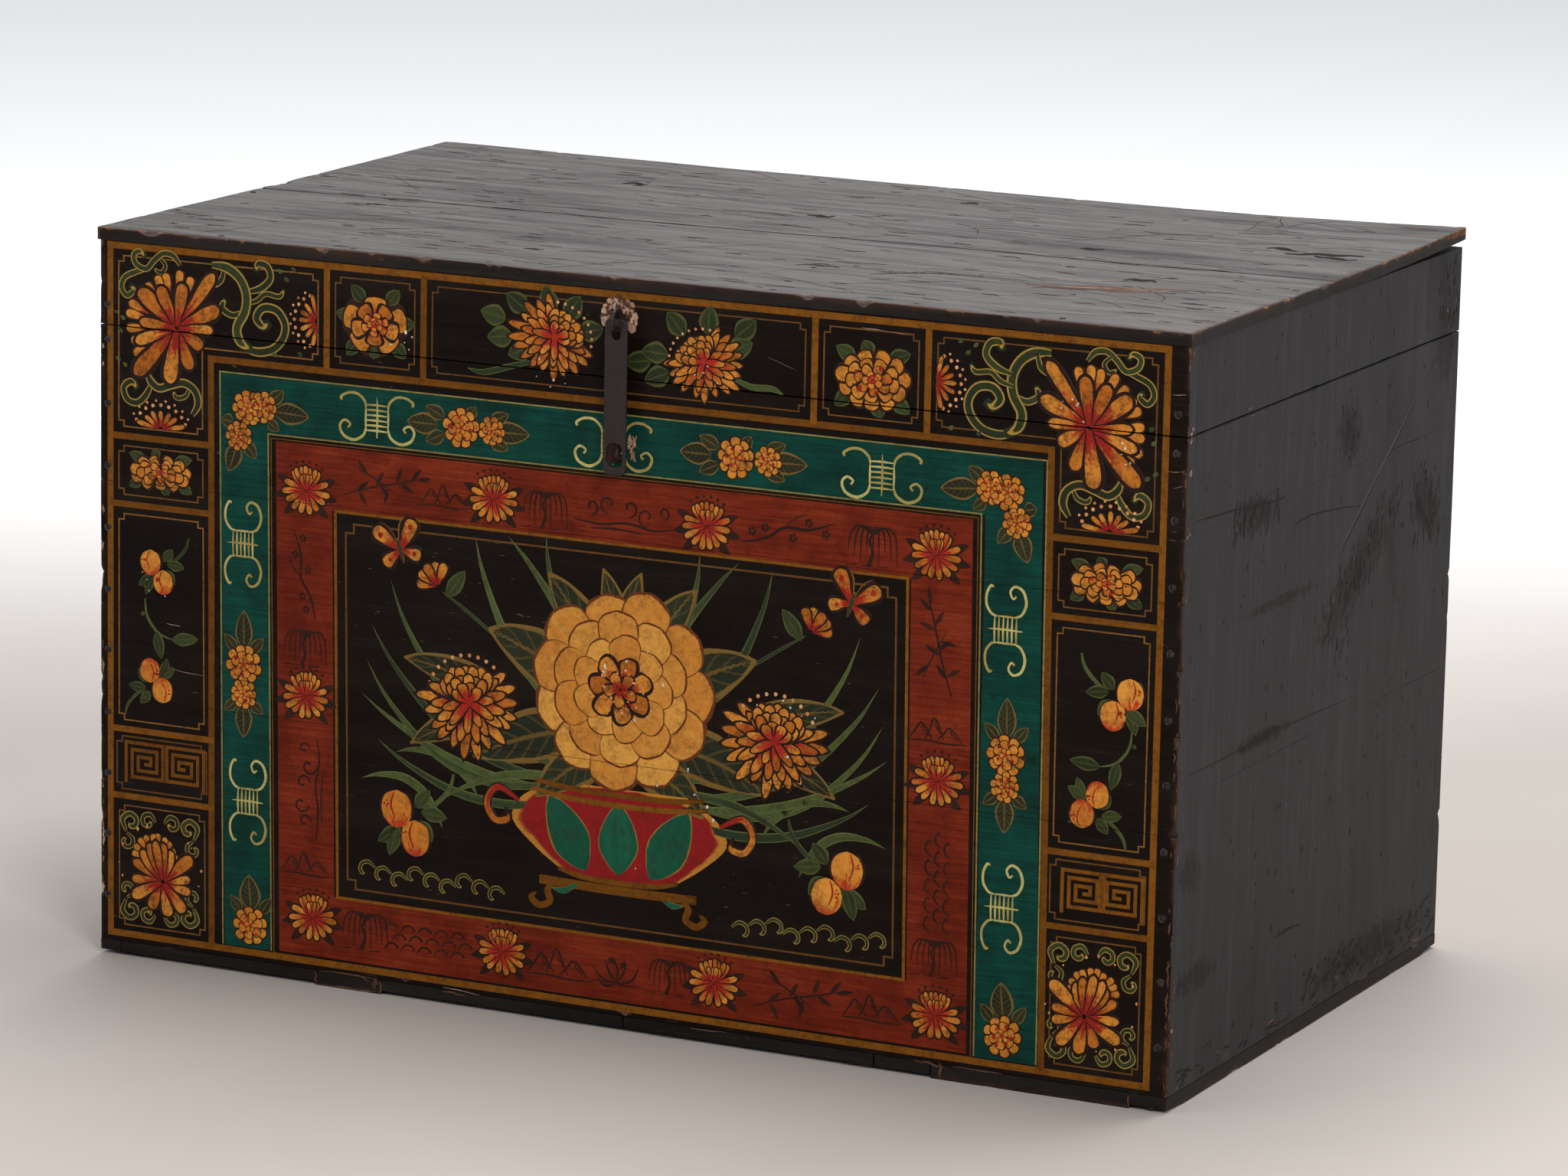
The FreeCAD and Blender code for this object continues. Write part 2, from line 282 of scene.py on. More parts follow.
def lacquer(name, grain, dust_and_sheen, gloss, sheen, deep, pale, smears=(), coarse=0.022):
    """Black lacquer on wood, rubbed through at the outer edges of the box."""
    f = Finish(name)
    deep, pale = tint(*deep), tint(*pale)
    sizes = bpy.context.scene.trunk
    x, y, z = f.axes()
    a = sizes.width / 2 - abs(x)
    b = sizes.depth / 2 - abs(y)
    c = z.low(sizes.height - z)
    edge = a.low(b).high(a.high(b).low(c))
    wear = f.value("wear")
    chips = f.noise(0.011, 6, 0.68)
    broad = f.noise(0.09, 5, 0.6, shift=3.0)
    fibre = f.noise(0.003, 5, 0.62, grain)
    figure = f.noise(coarse, 5, 0.62, grain, 7.0)
    flecks = f.noise(0.0016, 3, 0.6, grain, 6.0).ramp(0.56, 0.7)
    flecks = flecks * f.noise(0.03, 3, 0.6, shift=5.0).ramp(0.35, 0.6)
    scored = f.noise(0.0009, 2, 0.5, tuple(3 * s for s in grain), 2.0).ramp(0.66, 0.74)
    nicks = f.noise(0.0022, 2, 0.5, (5, 2, 1), 5.0).ramp(0.72, 0.77) * broad.ramp(0.46, 0.62)
    corner = 1.0 - a.high(b).high(c).ramp(0.004, 0.04)
    bare = (chips + wear * 0.26 + corner * 0.1 - edge / 0.016).ramp(0.63, 0.7)
    thin = (broad * 0.8 + chips * 0.4 + wear * 0.25 - edge / 0.03).ramp(0.52, 0.8)
    stain = f.noise(0.13, 5, 0.62, tuple(math.sqrt(s) for s in grain), 12.0).ramp(0.55, 0.72)
    ground = f.mix((figure * 0.65 + fibre * 0.35).ramp(0.36, 0.66), deep, pale)
    # Settled dust lightens the lacquer towards grey; on the top, where the share is largest, this paleness is
    # also painted reflection.
    settled_dust_and_sheen = (broad.ramp(0.3, 0.75) * 0.6 + figure.ramp(0.45, 0.7) * 0.5) * dust_and_sheen
    dusty_and_sheened = f.mix(settled_dust_and_sheen, ground, tint(96, 91, 89))
    for middle, level, run, rise, lean in smears:
        far = (y - middle - (z - level) * lean) / run
        up = (z - level) / rise
        ragged = far * far + up * up + (chips - 0.5) * 3.0 + (fibre - 0.5) * 2.0
        stain = stain.high((1.0 - ragged.ramp(0.0, 0.9)) * (chips + broad * 0.5).ramp(0.4, 0.7))
    dusty_and_sheened = f.mix((stain * 0.85 * fibre.ramp(0.2, 0.5)).high(flecks * dust_and_sheen), dusty_and_sheened, tint(24, 19, 17))
    rubbed = f.mix(thin * 0.8, dusty_and_sheened, tint(58, 37, 27))
    wood = f.mix(fibre.ramp(0.3, 0.7), tint(74, 49, 34), tint(126, 90, 65))
    colour = f.mix(bare, rubbed, wood)
    colour = f.mix((nicks * 0.5 + scored * 0.4 * dust_and_sheen).low(0.7), colour, tint(138, 112, 94))
    height = fibre * 0.3 + figure * 0.6 + chips * 0.2 - bare * 0.9 - scored * 0.15 - nicks * 0.5
    rough = gloss + (broad - 0.5) * 0.25 + (figure - 0.5) * 0.3 + bare * 0.35
    return f.done(colour, rough, height, 0.0004, Specular_IOR_Level=sheen)


def raw_wood(name, grain):
    """Unpainted softwood, browned with age."""
    f = Finish(name)
    long = tuple(3 * s if s > 1 else 1 for s in grain)
    fibre = f.noise(0.0012, 5, 0.6, long)
    figure = f.noise(0.0075, 5, 0.58, long, 4.0)
    broad = f.noise(0.06, 4, 0.55, grain, 6.0)
    stain = f.noise(0.16, 5, 0.6, shift=9.0)
    rings = f.maths("PINGPONG", figure * 5.0 + broad * 2.0, 0.5) * 2.0
    wood = f.mix(broad.ramp(0.35, 0.65), tint(138, 101, 66), tint(158, 119, 80))
    wood = f.mix(rings.ramp(0.62, 1.0) * 0.45, wood, tint(106, 72, 45))
    wood = f.mix(fibre.ramp(0.5, 0.75) * 0.45, wood, tint(94, 63, 40))
    wood = f.mix(stain.ramp(0.52, 0.8) * 0.45, wood, tint(84, 60, 42))
    return f.done(wood, 0.72 + (fibre - 0.5) * 0.2, fibre * 0.6 + rings * 0.3)


def iron(name, fresh, rust, share):
    """Hand forged iron under old brown rust."""
    f = Finish(name)
    fresh, rust = tint(*fresh), tint(*rust)
    blows = f.noise(0.006, 3, 0.5)
    fine = f.noise(0.0009, 5, 0.65, shift=2.0)
    patch = f.noise(0.012, 5, 0.65, shift=6.0)
    pits = f.noise(0.0018, 2, 0.5, shift=8.0).ramp(0.6, 0.75)
    rusty = (patch * 0.8 + fine * 0.3).ramp(0.72 - share, 0.9 - share)
    colour = f.mix(fine.ramp(0.3, 0.7), fresh, shaded(fresh, 0.55))
    colour = f.mix(rusty * 0.8, colour, rust)
    height = blows * 0.8 + fine * 0.25 - pits * 0.5
    return f.done(colour, 0.46 + rusty * 0.28 + (fine - 0.5) * 0.2, height, 0.0005, Metallic=0.55)


def shaded(colour, share):
    return (*[c * share for c in colour[:3]], 1.0)


def brushed(name, body, streak, rim, rim_from, root=None, halo=None, root_to=0.45, flake=0.5, veins=0.0,
            mottled=0.5, sheen=0.14):
    """Strokes: streaks along each one, a drawn edge, a root of another colour, fine cracks and losses."""
    f = Finish(name)
    body, streak, rim = tint(*body), tint(*streak), tint(*rim)
    root = root and tint(*root)
    halo = halo and tint(*halo)
    along = f.value("along")
    across = f.value("across")
    shade = f.value("shade")
    side = abs(across)
    lane = {0: along * 2.6 + shade * 37.0, 1: across * 3.4, 2: shade * 91.0}
    lane = f.node("ShaderNodeCombineXYZ", {}, lane)
    hair = f.noise(1.0, 4, 0.65, vector=lane)
    mottle = f.noise(0.0034, 5, 0.66)
    cloud = f.noise(0.02, 4, 0.6, shift=4.0)
    worn = f.noise(0.0015, 5, 0.72, shift=5.0)
    crack = f.crackle(0.0038, 1.0)
    colour = f.mix((hair * 0.75 + mottle * 0.35 + (shade - 0.5) * 0.5).ramp(0.34, 0.74), body, streak)
    colour = f.mix((mottle * 0.7 + cloud * 0.4).ramp(0.52, 0.72) * mottled, colour, shaded(body, 0.45))
    grime = f.noise(0.0065, 5, 0.72, shift=8.0)
    colour = f.mix((grime + worn * 0.3).ramp(0.6, 0.85) * mottled * 0.8, colour, tint(46, 24, 12))
    if root:
        ragged = root_to - along + (hair - 0.5) * 1.5 + (mottle - 0.5) * 0.5
        colour = f.mix(ragged.ramp(-0.08, 0.26), colour, root)
    tip = ((along - 0.82) * 5.4).high(0.0)
    edge = f.maths("SQRT", side * side + tip * tip) + (hair - 0.5) * 0.25
    if halo:
        colour = f.mix(edge.ramp(rim_from - 0.3, rim_from - 0.14) * 0.7, colour, halo)
    if veins:
        comb = f.maths("PINGPONG", along * 7.0 - side * 1.6, 0.5)
        rib = (1.0 - side.ramp(0.03, 0.12)).high((1.0 - comb.ramp(0.05, 0.14)) * 0.4)
        colour = f.mix(rib * veins, colour, halo or rim)
    colour = f.mix(edge.ramp(rim_from, rim_from + 0.06), colour, rim)
    lost = (worn + mottle * 0.25).ramp(0.77, 0.84) * flake
    lost = lost.high((1.0 - crack.ramp(0.004, 0.035)) * cloud.ramp(0.4, 0.6) * flake * 0.8)
    colour = f.mix(lost, colour, tint(44, 24, 15))
    height = hair * 0.4 + mottle * 0.4 + crack.ramp(0.0, 0.06) * 0.3 - lost * 0.6
    rough = 0.42 + (mottle - 0.5) * 0.25 + lost * 0.2
    return f.done(colour, rough, height, 0.00014, Specular_IOR_Level=sheen)


def flat_coat(name, body, deep, pale):
    """A broad even coat laid on with a wide brush, thin in places."""
    f = Finish(name)
    body, deep, pale = tint(*body), tint(*deep), tint(*pale)
    streak = f.noise(0.0016, 4, 0.6, (26, 1, 1), 4.0)
    cloud = f.noise(0.05, 5, 0.62, shift=2.0)
    grime = f.noise(0.011, 5, 0.7, shift=8.0)
    worn = f.noise(0.0014, 5, 0.75, shift=6.0)
    crack = f.crackle(0.006, 3.0)
    colour = f.mix((streak * 0.5 + cloud * 0.7).ramp(0.42, 0.72), deep, body)
    colour = f.mix((cloud * 0.6 + streak * 0.6).ramp(0.62, 0.82) * 0.7, colour, pale)
    colour = f.mix(grime.ramp(0.52, 0.76) * 0.5, colour, shaded(deep, 0.5))
    lost = (worn + grime * 0.3).ramp(0.84, 0.9) * 0.8
    lost = lost.high((1.0 - crack.ramp(0.002, 0.018)) * cloud.ramp(0.45, 0.65) * 0.4)
    colour = f.mix(lost, colour, tint(26, 18, 15))
    height = streak * 0.5 + crack.ramp(0.0, 0.05) * 0.3 - lost * 0.5
    return f.done(colour, 0.42 + (cloud - 0.5) * 0.25, height, 0.00015, Specular_IOR_Level=0.09)


ALONG_X = (14, 1, 1)
ALONG_Y = (1, 14, 1)
ALONG_Z = (1, 1, 14)
OUTLINE = (34, 16, 9)
GOLD = (174, 95, 22)
YELLOW = (206, 132, 46)
DEEP_RED = (140, 24, 16)

# Dark smears on the ends of the trunk: middle, level, half length, half height and lean
SMEARS = (
    (-0.138, 0.419, 0.05, 0.018, 0.0), (0.075, 0.342, 0.05, 0.06, 1.4), (0.215, 0.367, 0.035, 0.04, -0.6),
    (-0.115, 0.247, 0.07, 0.008, 0.0), (-0.08, 0.345, 0.09, 0.006, 0.0), (0.045, 0.452, 0.03, 0.03, 0.0),
    (0.245, 0.5, 0.03, 0.05, 0.0), (0.12, 0.034, 0.16, 0.02, 0.0), (-0.225, 0.092, 0.05, 0.014, 0.0),
    (-0.244, 0.172, 0.025, 0.02, 0.0))

# What makes each finish and what it takes after the name, colours as they show on a screen
FINISHES = {
    "front_lacquer": (lacquer, ALONG_X, 0.04, 0.42, 0.06, (16, 9, 5), (24, 15, 10)),
    "edge_lacquer": (lacquer, ALONG_X, 0.06, 0.5, 0.12, (16, 12, 11), (30, 24, 20)),
    # Grey of the ends: painted sheen, the black lacquer lightened in place of its reflection.
    "side_lacquer": (lacquer, ALONG_Z, 0.2, 0.5, 0.07, (40, 38, 40), (53, 50, 53), SMEARS, 0.013),
    "back_lacquer": (lacquer, ALONG_X, 0.3, 0.52, 0.1, (36, 33, 33), (54, 50, 49), (), 0.006),
    # Pale grey of the top: painted reflection of the bright room at a glancing view, over some real dust.
    "top_lacquer": (lacquer, ALONG_X, 0.7, 0.46, 0.38, (62, 58, 57), (108, 103, 102), (), 0.009),
    "long_wood": (raw_wood, ALONG_X),
    "cross_wood": (raw_wood, ALONG_Y),
    "bamboo": (raw_wood, ALONG_Z),
    "black_iron": (iron, (52, 42, 40), (84, 52, 38), 0.1),
    "nail_iron": (iron, (40, 34, 32), (76, 57, 44), 0.2),
    "teal": (flat_coat, (5, 60, 50), (4, 40, 33), (12, 74, 63)),
    "brick": (flat_coat, (115, 37, 14), (84, 22, 8), (136, 54, 27)),
    "ochre": (brushed, (106, 62, 11), (126, 76, 17), (76, 44, 8), 0.9, {"sheen": 0.08}),
    "gold_line": (brushed, (98, 62, 22), (134, 90, 38), (76, 46, 16), 0.95, {"flake": 0.8}),
    "petal": (brushed, GOLD, YELLOW, OUTLINE, 0.56, DEEP_RED, {"root_to": 0.48, "mottled": 0.85}),
    "flame": (brushed, GOLD, YELLOW, OUTLINE, 0.53, (158, 34, 20), {"root_to": 0.66, "mottled": 0.7}),
    "pale_petal": (brushed, (190, 116, 34), YELLOW, (46, 21, 10), 0.6, (156, 42, 20),
                   {"root_to": 0.38, "mottled": 0.7}),
    "cream_petal": (brushed, (194, 124, 46), (212, 150, 64), (96, 46, 18), 0.79, (176, 76, 26),
                    {"root_to": 0.2, "mottled": 0.45}),
    "red_spot": (brushed, DEEP_RED, (160, 42, 22), (110, 22, 18), 0.95),
    "leaf": (brushed, (32, 42, 20), (50, 60, 28), (20, 22, 12), 0.92, None, (82, 86, 40), {"veins": 0.5}),
    "dark_leaf": (brushed, (24, 32, 18), (36, 44, 24), (112, 85, 36), 0.72, {"veins": 0.7, "mottled": 0.3}),
    "scroll": (brushed, (30, 42, 20), (48, 60, 29), (30, 40, 20), 0.8, None, (190, 146, 64)),
    "blade": (brushed, (34, 50, 28), (74, 86, 44), (24, 32, 17), 0.94, None, (98, 100, 50)),
    "pale_scroll": (brushed, (158, 140, 76), (190, 176, 110), (110, 92, 42), 0.94, {"mottled": 0.3}),
    "olive_line": (brushed, (112, 104, 54), (140, 130, 74), (90, 80, 38), 0.95, {"flake": 0.7}),
    "dot": (brushed, (200, 128, 78), (220, 164, 112), (140, 60, 34), 0.9, {"flake": 0.2}),
    "fruit": (brushed, (196, 116, 36), (216, 144, 54), OUTLINE, 0.79, (168, 52, 22), {"root_to": 0.3}),
    "ink": (brushed, (36, 16, 10), (52, 23, 14), (40, 17, 11), 0.95, {"flake": 0.2}),
    "crimson": (brushed, (136, 18, 20), (158, 32, 26), (176, 116, 40), 0.86, {"mottled": 0.4}),
    "teal_stroke": (brushed, (8, 76, 54), (20, 94, 68), (140, 102, 38), 0.8),
    "bare_wood": (brushed, (150, 110, 84), (196, 160, 134), (146, 108, 82), 0.98, {"flake": 0.8}),
    "dent": (brushed, (22, 19, 18), (32, 28, 26), (26, 22, 20), 0.98, {"flake": 0.0, "sheen": 0.04}),
    "scratch": (brushed, (40, 32, 28), (52, 40, 34), (36, 28, 25), 0.98, {"flake": 0.0}),
    # Real pale scratches, and also the painted glints round the front nails.
    "pale_scratch": (brushed, (74, 70, 70), (88, 84, 83), (66, 62, 61), 0.98, {"flake": 0.0, "sheen": 0.08}),
    "gouge": (brushed, (74, 48, 36), (100, 68, 51), (52, 35, 28), 0.8, {"flake": 0.4}),
    "pale_wood": (brushed, (140, 108, 90), (172, 142, 124), (110, 80, 64), 0.9, {"flake": 0.3}),
    "chalk": (brushed, (200, 190, 178), (228, 222, 212), (190, 170, 150), 0.95, {"flake": 0.1}),
}


# Boards

def lumps(point, size, seed=0.0):
    """Even noise, -1 to 1, at a point in metres, with lumps of about this size."""
    return noise.noise(Vector(point) / size + Vector((seed, seed * 1.7, -seed)))


def worn_back(point):
    """How far an edge is worn away at a point of an outer face: a little at a seam, more at an outer edge."""
    sizes = bpy.context.scene.trunk
    x, y, z = point
    gaps = sorted((sizes.width / 2 - abs(x), sizes.depth / 2 - abs(y), min(z, sizes.height - z)))
    if abs(z - sizes.base_height) < MM:
        rough = 1.0 if y < MM - sizes.depth / 2 else 1.9
        return rough * (0.00045 + 0.001 * max(0.0, lumps(point, 0.012, 5)))
    if gaps[1] > MM:
        if z > sizes.height - MM:
            return 0.0013 + 0.0014 * max(0.0, lumps(point, 0.02, 5))
        if abs(gaps[1] - sizes.wall) < MM:
            return 0.00004
        return 0.00006 + 0.0007 * max(0.0, lumps(point, 0.07, 5) + 0.4 * lumps(point, 0.012, 2))
    flaws = lumps(point, 0.023) + 0.5 * lumps(point, 0.008, 3) + 0.3 * lumps(point, 0.0035, 6)
    chips = max(0.0, flaws - 0.34)
    return max(0.0004, sizes.arris * (1 + 0.6 * lumps(point, 0.045, 8))) + sizes.chip * chips


def on_skin(point):
    """Whether a point lies on the outside of the trunk's walls or lid."""
    sizes = bpy.context.scene.trunk
    return min(sizes.width / 2 - abs(point.x), sizes.depth / 2 - abs(point.y)) < 0.4 * MM


def meshed(bm, name, *skins):
    """The finished mesh of a bmesh, with these finishes."""
    mesh = bpy.data.meshes.new(name)
    bm.to_mesh(mesh)
    bm.free()
    for skin in skins:
        mesh.materials.append(finish(skin))
    return mesh


def piece(name, mesh, body, slot, *nodes):
    """A finished piece that rides on a body and stands for these nodes of the model."""
    made = bpy.data.objects.new(name, mesh)
    bpy.context.scene.collection.objects.link(made)
    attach(made, body)
    if nodes:
        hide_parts(*nodes)


def grid_fill(bm, ring, long, short):
    """Fills a four sided ring of corners with a grid of faces, which can be bent afterwards."""
    count = len(ring)
    near = [ring[i] for i in range(long + 1)]
    far = [ring[(2 * long + short - i) % count] for i in range(long + 1)]
    start = [ring[(count - j) % count] for j in range(short + 1)]
    end = [ring[long + j] for j in range(short + 1)]
    rows = [near]
    for j in range(1, short):
        v = j / short
        row = [start[j]]
        for i in range(1, long):
            u = i / long
            between = near[i].co * (1 - v) + far[i].co * v + start[j].co * (1 - u) + end[j].co * u
            here, there = (line[0].co * (1 - u) + line[-1].co * u for line in (near, far))
            row.append(bm.verts.new(between - (here * (1 - v) + there * v)))
        rows.append(row + [end[j]])
    rows.append(far)
    return [bm.faces.new((p[i], p[i + 1], q[i + 1], q[i]))
            for p, q in zip(rows, rows[1:]) for i in range(long)]


def board(name, body, slot, outline, place, thick, skins, step=5 * MM, bend=None, ledge=BACK_ARRIS):
    """A sawn board. The outline is its outer face; place(u, v, depth) puts that face on the trunk."""
    corners = [Vector(corner) for corner in outline]
    sides = list(zip(corners, corners[1:] + corners[:1]))
    counts = [max(1, round((b - a).length / step)) for a, b in sides]
    if bend:
        counts[2:] = counts[:2]
    rim = [a.lerp(b, k / n) for (a, b), n in zip(sides, counts) for k in range(n)]
    inward = []
    for i, point in enumerate(rim):
        before = (point - rim[i - 1]).normalized()
        after = (rim[(i + 1) % len(rim)] - point).normalized()
        left = Vector((-before.y - after.y, before.x + after.x))
        inward.append(left / max(0.35, 1 + before.dot(after)))
    worn = [worn_back(place(*point, 0.0)) for point in rim]
    bm = bmesh.new()
    wear = bm.verts.layers.float.new("wear")
    rings = []
    for inset, sunk, amount in ((1.0, 0.0, 0.25), (0.3, 0.3, 1.0), (0.0, 1.0, 0.8), (0.0, None, 0.0),
                                (None, None, 0.0)):
        ring = []
        for point, way, back in zip(rim, inward, worn):
            spot = point + way * (back * inset if inset is not None else ledge)
            deep = back * sunk if sunk is not None else (thick if inset is None else thick - BACK_ARRIS)
            corner = bm.verts.new(place(*spot, deep))
            corner[wear] = amount * min(1.0, back / DEEP_WEAR)
            ring.append(corner)
        rings.append(ring)
    outer = grid_fill(bm, rings[0], *counts[:2]) if bend else [bm.faces.new(rings[0])]
    inner = grid_fill(bm, rings[-1], *counts[:2]) if bend else [bm.faces.new(rings[-1])]
    for k, (ring, after) in enumerate(zip(rings, rings[1:])):
        for i in range(len(ring)):
            face = bm.faces.new((ring[i - 1], ring[i], after[i], after[i - 1]))
            face.smooth = k < 2
            face.material_index = 0 if k < 3 or ledge > MM else 1
            middle = face.calc_center_median()
            if bend and k < 3 and abs(middle.y) < 0.05 and abs(middle.x) < 0.4495:
                face.material_index = 2
            elif k > 1 and len(skins) > 2 and on_skin(middle):
                face.material_index = 2 if middle.y < 0 else len(skins) - 1
    for face in inner:
        face.material_index = 1
    for face in outer + inner:
        face.smooth = bool(bend)
    if bend:
        for corner in bm.verts:
            corner.co = bend(corner.co)
    bmesh.ops.recalc_face_normals(bm, faces=bm.faces)
    piece(name + "_worn", meshed(bm, name, *skins), body, slot, name)


def fingered(low, high, reach, root, start, pitch, owner, sizes):
    """Outline of a board, counter-clockwise, whose ends carry every other finger of the corner."""
    end = []
    level = low
    while level < high - MM:
        out = reach if round((level - start) / pitch) % 2 == owner else root
        end += [(out, level), (out, min(level + pitch, high))]
        level += pitch
    under, over = (sizes.parting_gap if abs(edge - sizes.base_height) < MM else sizes.seam_gap
                   for edge in (low, high))
    end[0] = (end[0][0], low + under)
    end[-1] = (end[-1][0], high - over)
    return end + [(-u, v) for u, v in reversed(end)]


def wall_places(sizes):
    """For each side of the trunk: how its face lies, its half length, its material slot and its skins."""
    w, d = sizes.width / 2, sizes.depth / 2
    front, back = ((face, "long_wood", "side_lacquer") for face in ("front_lacquer", "back_lacquer"))
    ends = ("side_lacquer", "cross_wood", "front_lacquer", "back_lacquer")
    return {
        "front": (lambda u, v, deep: Vector((u, deep - d, v)), w, 1, "painted_front", front),
        "back": (lambda u, v, deep: Vector((u, d - deep, v)), w, 1, "worn_lacquer", back),
        "left": (lambda u, v, deep: Vector((deep - w, u, v)), d, 0, "worn_lacquer", ends),
        "right": (lambda u, v, deep: Vector((w - deep, u, v)), d, 0, "worn_lacquer", ends),
    }


def curled(point):
    """A point of the lid's top after the boards have curled and their right rear corner has lifted."""
    sizes = bpy.context.scene.trunk
    x, y = point.x / sizes.width * 2, point.y / sizes.depth * 2
    right = max(0.0, x) ** 3 * max(0.0, (y + 0.1) / 1.1) ** 2
    left = max(0.0, -x) ** 2 * max(0.0, y) ** 2
    wave = 0.0005 * lumps((point.x, point.y, 0), 0.2) + 0.0003 * lumps((point.x * 0.4, point.y, 1), 0.03)
    return point + Vector((0, 0, sizes.lifted * right + 0.0015 * left + wave))


class TRUNK_OT_walls(bpy.types.Operator):
    """Saw and wear the wall boards of the box, with their corner fingers"""
    bl_idname = "trunk.walls"
    bl_label = "Wall boards"

    def execute(self, context):
        sizes = context.scene.trunk
        for side, (place, half, owner, slot, skins) in wall_places(sizes).items():
            for course in ("lower", "middle", "upper"):
                node = f"base_{side}_{course}"
                low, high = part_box(node)
                outline = fingered(low.z, high.z, half, half - sizes.wall, sizes.bottom, sizes.finger, owner,
                                   sizes)
                board(node, "base", slot, outline, place, sizes.wall, skins)
        return {"FINISHED"}


class TRUNK_OT_bottom(bpy.types.Operator):
    """Lay the bottom boards, some of them worn short of the floor at their ends"""
    bl_idname = "trunk.bottom"
    bl_label = "Bottom boards"

    def execute(self, context):
        sizes = context.scene.trunk
        for k in range(1, 9):
            node = f"bottom_board_{k}"
            low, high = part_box(node)
            rise = 0.0 if k in STANDING else WORN_SHORT

            def place(u, v, deep, rise=rise):
                share = min(1.0, max(0.0, abs(v) - WORN_FROM) / WORN_RUN)
                return Vector((u, v, deep + (sizes.bottom - deep) / sizes.bottom * rise * share))
            slit = 0.0 if k in OUTERMOST else BOTTOM_SLIT
            left, right = low.x + slit, high.x - slit
            outline = [(left, low.y), (right, low.y), (right, high.y), (left, high.y)]
            skins = ("edge_lacquer", "cross_wood")
            board(node, "base", "worn_lacquer", outline, place, sizes.bottom, skins, ledge=4 * MM)
        return {"FINISHED"}


class TRUNK_OT_lid(bpy.types.Operator):
    """Saw and wear the lid's rails and its two top boards, which have curled a little"""
    bl_idname = "trunk.lid"
    bl_label = "Lid boards"

    def execute(self, context):
        sizes = context.scene.trunk
        rail = sizes.height - sizes.top - sizes.base_height
        for side, (place, half, owner, slot, skins) in wall_places(sizes).items():
            node = f"lid_{side}_rail"
            low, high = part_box(node)
            outline = fingered(low.z, high.z, half, half - sizes.wall, sizes.base_height, rail / 2, 1 - owner,
                               sizes)
            board(node, "lid", slot, outline, place, sizes.wall, skins)

        def top(u, v, deep):
            return Vector((u, v, sizes.height - deep))
        skins = ("top_lacquer", "long_wood", "edge_lacquer")
        for node, near in (("lid_top_front", True), ("lid_top_rear", False)):
            low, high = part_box(node)
            left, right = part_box("lid_top_rear")[0].y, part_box("lid_top_front")[1].y
            if near:
                outline = [(low.x, low.y), (high.x, low.y), (high.x, right), (low.x, left - LID_SEAM)]
            else:
                outline = [(low.x, left), (high.x, right + LID_SEAM), (high.x, high.y), (low.x, high.y)]
            board(node, "lid", "worn_lacquer", outline, top, sizes.top, skins, 4 * MM, curled)
        return {"FINISHED"}


# Brush strokes

class Spot:
    """A place on a face where a motif goes: its middle in millimetres, its stretch and its turn."""

    def __init__(self, x, z, wide=1.0, tall=None, turn=0.0):
        self.x, self.z = x, z
        self.wide = wide
        self.tall = abs(wide) if tall is None else tall
        self.turn = math.radians(turn)

    def at(self, u, v):
        u, v = u * self.wide, v * self.tall
        c, s = math.cos(self.turn), math.sin(self.turn)
        return (self.x + u * c - v * s, self.z + u * s + v * c)

    def flipped(self, side):
        """The same place, mirrored left to right where side is -1."""
        return Spot(self.x, self.z, self.wide * side, self.tall, math.degrees(self.turn))


ORIGIN = Spot(0, 0)


def polar(radius, angle):
    a = math.radians(angle)
    return (radius * math.cos(a), radius * math.sin(a))


def spiral(x, z, start, end, first, sweep, steps=7):
    """Points that wind from one radius to another round a middle."""
    turns = [k / (steps - 1) for k in range(steps)]
    winding = [polar(start + (end - start) * t, first + sweep * t) for t in turns]
    return [(x + u, z + v) for u, v in winding]


# How the half width of a petal goes from root to tip
ROUND = (0.34, 0.56, 0.88, 1.0, 0.72, 0.1)
POINTED = (0.55, 0.85, 1.0, 0.82, 0.45, 0.05)

# Half width, lowest and highest place of a mark on each plain face, in millimetres
FIELDS = {"top": (446, -268, 268), "right": (269, 3, 558), "left": (269, 3, 558), "back": (446, 3, 558)}


def inward(places, low, high):
    """The move that brings a mark's points within its limits."""
    return max(0.0, low - min(places)) - max(0.0, max(places) - high)


